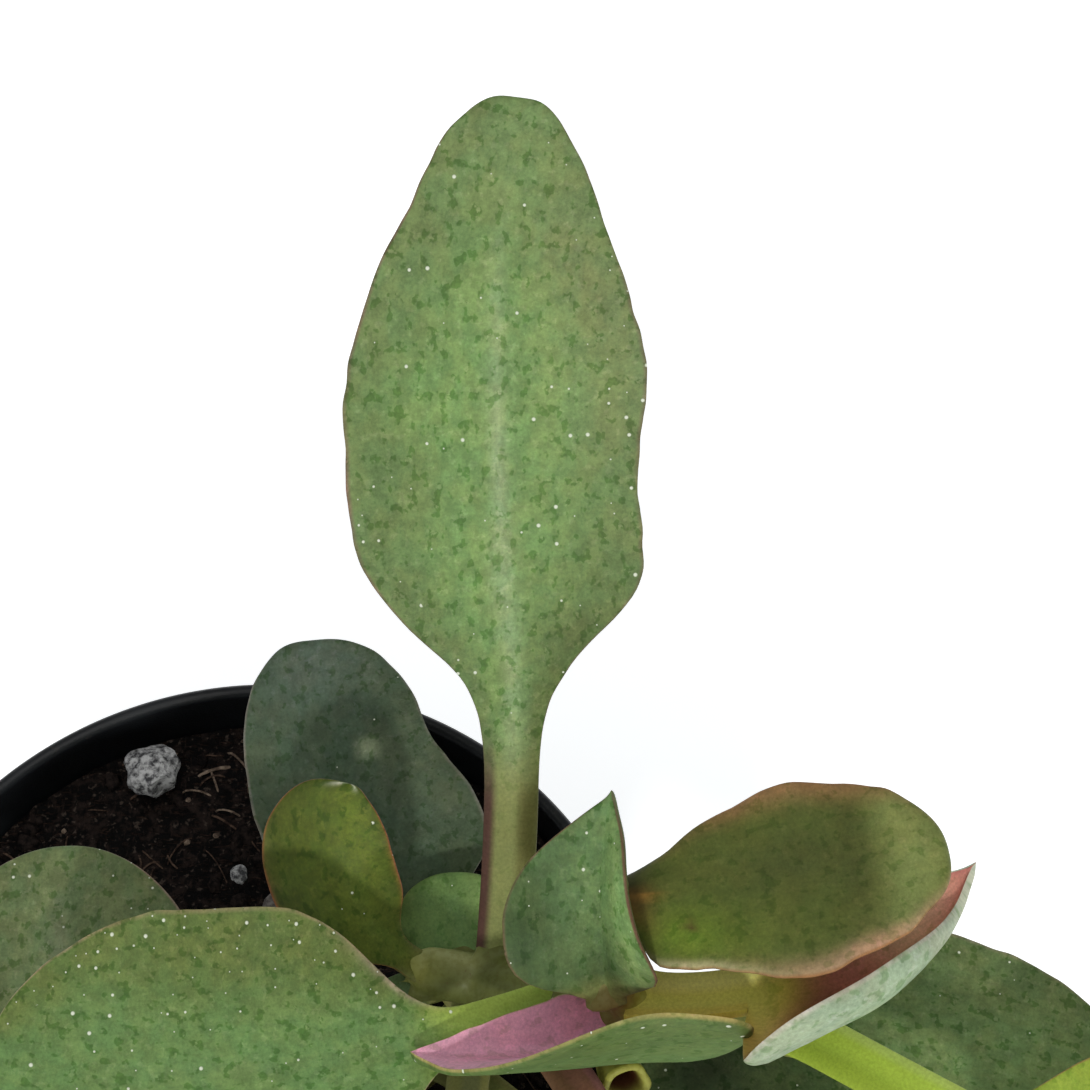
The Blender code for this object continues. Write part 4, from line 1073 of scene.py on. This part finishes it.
def make_soil(peat):
    """The root ball: rings from the top's middle out to the wall, then down the wall to the floor."""
    bottom = FLOOR + GAP
    outer = inner_radius(SOIL_TOP) - GAP
    foot = inner_radius(bottom) - GAP
    top = spun([(outer * share ** 0.8, 0) for share in np.arange(1, SOIL_RINGS + 1) / SOIL_RINGS], SOIL_SIDES)
    top[..., 2] = soil_height(top[..., 0], top[..., 1])
    wall = [(outer - (outer - foot) * t, SOIL_SHOULDER - (SOIL_SHOULDER - bottom) * t)
            for t in np.linspace(0, 1, 12)]
    rings = np.vstack([top, spun([*wall, (foot * 0.6, bottom)], SOIL_SIDES)])
    middle = np.array([0, 0, soil_height(np.zeros(1), np.zeros(1))[0]])
    made = new_piece("soil_peat", *skin(rings, middle, (0, 0, bottom)), peat, "soil_mix", 80)
    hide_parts("soil")


def lump_rings(centre, size, rings, sides, layer, rough, flat):
    """A rounded crumb: a sphere in rings, pushed in and out by ridged noise of three sizes."""
    polar = np.pi * (np.arange(rings) + 0.5) / rings
    out = spun(np.stack([np.sin(polar), np.cos(polar)], 1), sides)
    ball = out * 10
    ridges = np.abs(wander(ball, 8.0, layer)) + 0.22 * np.abs(wander(ball, 3.4, layer + 1))
    reach = 1 + rough * (0.55 - 1.4 * ridges + 0.5 * wander(ball, 9.0, layer + 2))
    points = out * reach[..., None] * size / 2
    points[..., 2] *= flat
    return points + np.asarray(centre, float)


def make_grains(finishes):
    """The larger loose grains, each standing for the CAD grain of its name."""
    for index, (name, slot, centre, size) in enumerate(GRAINS):
        share, rough = GRAIN_SHAPES[slot]
        rings = lump_rings(centre, size * share, 44, 64, 20 + 3 * index, rough, GRAIN_FLAT)
        made = new_piece(name + "_lump", *skin(rings), finishes[slot], slot)
        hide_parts(name)


def scatter(count, seed):
    """Places on the soil inside the wall, and clear of the stems."""
    draw = np.random.default_rng(seed)
    radius = (inner_radius(SOIL_TOP) - CRUMB_MARGIN) * np.sqrt(draw.uniform(0, 1, 3 * count))
    angle = draw.uniform(0, 2 * np.pi, 3 * count)
    x, y = radius * np.cos(angle), radius * np.sin(angle)
    clear = np.ones(len(x), bool)
    for branches in STEMS.values():
        foot_x, foot_y, _, foot_radius = branches[0][1]
        clear &= np.hypot(x - foot_x, y - foot_y) > foot_radius + 1.0
    chosen = np.flatnonzero(clear)[:count]
    return x[chosen], y[chosen], draw


def make_crumbs(finishes):
    """Hundreds of small peat crumbs and a few pale ones, half sunk in the soil."""
    x, y, draw = scatter(CRUMBS, SEED + 1)
    pale = draw.uniform(0, 1, len(x)) < PALE_CRUMBS
    sizes = draw.gamma(2.6, 0.42, len(x)).clip(0.4, 3.0) * np.where(pale, 0.5, 1.0)
    z = soil_height(x, y) + 0.02 * sizes
    for name, chosen, finish in (("peat_crumbs", ~pale, "soil_crumb"), ("pale_crumbs", pale, "straw")):
        crumbs = [lump_rings((x[k], y[k], z[k]), sizes[k], 5, 8, 30 + k % 40, 0.5, CRUMB_FLAT)
                  for k in np.flatnonzero(chosen)]
        new_piece(name, *joined(crumbs), finishes[finish], "soil_mix", 80)


def lying_tube(x, y, radius):
    """A thin tube along a path over the soil, from one end to the other, that dips in at both ends."""
    inside = np.minimum(1, (inner_radius(SOIL_TOP) - 1.2) / np.hypot(x, y).clip(1))
    x, y = x * inside, y * inside
    z = soil_height(x, y).max() + 0.1 - 0.9 * np.linspace(-1, 1, len(x)) ** 4
    return tube_rings(np.stack([x, y, z, 0 * x + radius], 1), 5)


def make_fibres(finishes):
    """Thin roots: bent tubes that lie on the soil; and a few pale straws at the places in the photo."""
    x, y, draw = scatter(FIBRES, SEED + 2)
    t = np.linspace(-0.5, 0.5, 9)
    roots = []
    for start_x, start_y in zip(x, y):
        length, radius = draw.uniform(2.5, 7.0), draw.uniform(0.07, 0.16)
        turn = draw.uniform(0, 2 * np.pi) + draw.uniform(-0.9, 0.9) * t
        roots.append(lying_tube(start_x + length * t * np.cos(turn),
                                start_y + length * t * np.sin(turn), radius))
    straws = [lying_tube(np.linspace(x0, x1, 7), np.linspace(y0, y1, 7) + bow * BOW_SHAPE, radius)
              for x0, y0, x1, y1, bow, radius in STRAWS]
    new_piece("soil_fibres", *joined(roots), finishes["fibre"], "soil_mix", 80)
    new_piece("straws", *joined(straws), finishes["straw"], "soil_mix", 80)


def make_paper(paper):
    """A large sheet of pale paper just under the pot."""
    signs = ((-1, -1), (1, -1), (1, 1), (-1, 1))
    corners = [(x * PAPER_HALF, y * PAPER_HALF, PAPER_HEIGHT) for x, y in signs]
    made = put("floor", new_mesh("floor", corners, [(0, 1, 2, 3)], paper))


def make_lights():
    """Even light from all around, paler near the horizon, a lamp in front, and a wide soft one overhead."""
    world = bpy.data.worlds.new("studio")
    bpy.context.scene.world = world
    world.use_nodes = True
    tree = world.node_tree
    sky = tree.nodes["Background"]
    sky.inputs["Color"].default_value = SKY_COLOUR
    height = tree.nodes.new("ShaderNodeSeparateXYZ")
    tree.links.new(tree.nodes.new("ShaderNodeTexCoord").outputs["Generated"], height.inputs[0])
    fade = tree.nodes.new("ShaderNodeMapRange")
    for socket, value in zip(("From Min", "From Max", "To Min", "To Max"), (*HORIZON, 1.0, SKY)):
        fade.inputs[socket].default_value = value
    tree.links.new(height.outputs["Z"], fade.inputs["Value"])
    tree.links.new(fade.outputs["Result"], sky.inputs["Strength"])
    for name, strength, spread, rise in LAMPS:
        lamp = bpy.data.lights.new(name, "SUN")
        lamp.energy = strength
        lamp.angle = np.radians(spread)
        lamp.color = LAMP_COLOUR
        put(name, lamp).rotation_euler = (np.radians(90 - rise), 0, np.radians(LAMP_SIDE))


def make_camera():
    """The photograph's camera: straight towards north, looking down."""
    lens = bpy.data.cameras.new("camera")
    lens.lens = LENS
    lens.sensor_width = SENSOR
    made = put("camera", lens)
    rise = np.radians(CAMERA_RISE)
    made.location = (np.asarray(AIM) + DISTANCE * np.array([0, -np.cos(rise), np.sin(rise)])) * MM
    made.rotation_euler = (np.pi / 2 - rise, 0, 0)
    bpy.context.scene.camera = made


def main():
    """Build every piece, the stage, the light and the camera."""
    skins = {slot: leaf_skin_material(slot + "_skin") for slot in dict.fromkeys(leaf.slot for leaf in LEAVES)}
    finishes = {key: grainy_material(*colours) for key, colours in GRAINY.items()}
    fleshy = stem_material()
    make_camera()
    make_pot(pot_material())
    make_soil(soil_material())
    make_grains(finishes)
    make_crumbs(finishes)
    make_fibres(finishes)
    for name in STEMS:
        make_stem(name, fleshy)
    make_stub(fleshy)
    for leaf in LEAVES:
        make_leaf(leaf, skins)
    make_paper(paper_material())
    make_lights()
    bpy.context.scene.view_settings.view_transform = "Standard"


main()
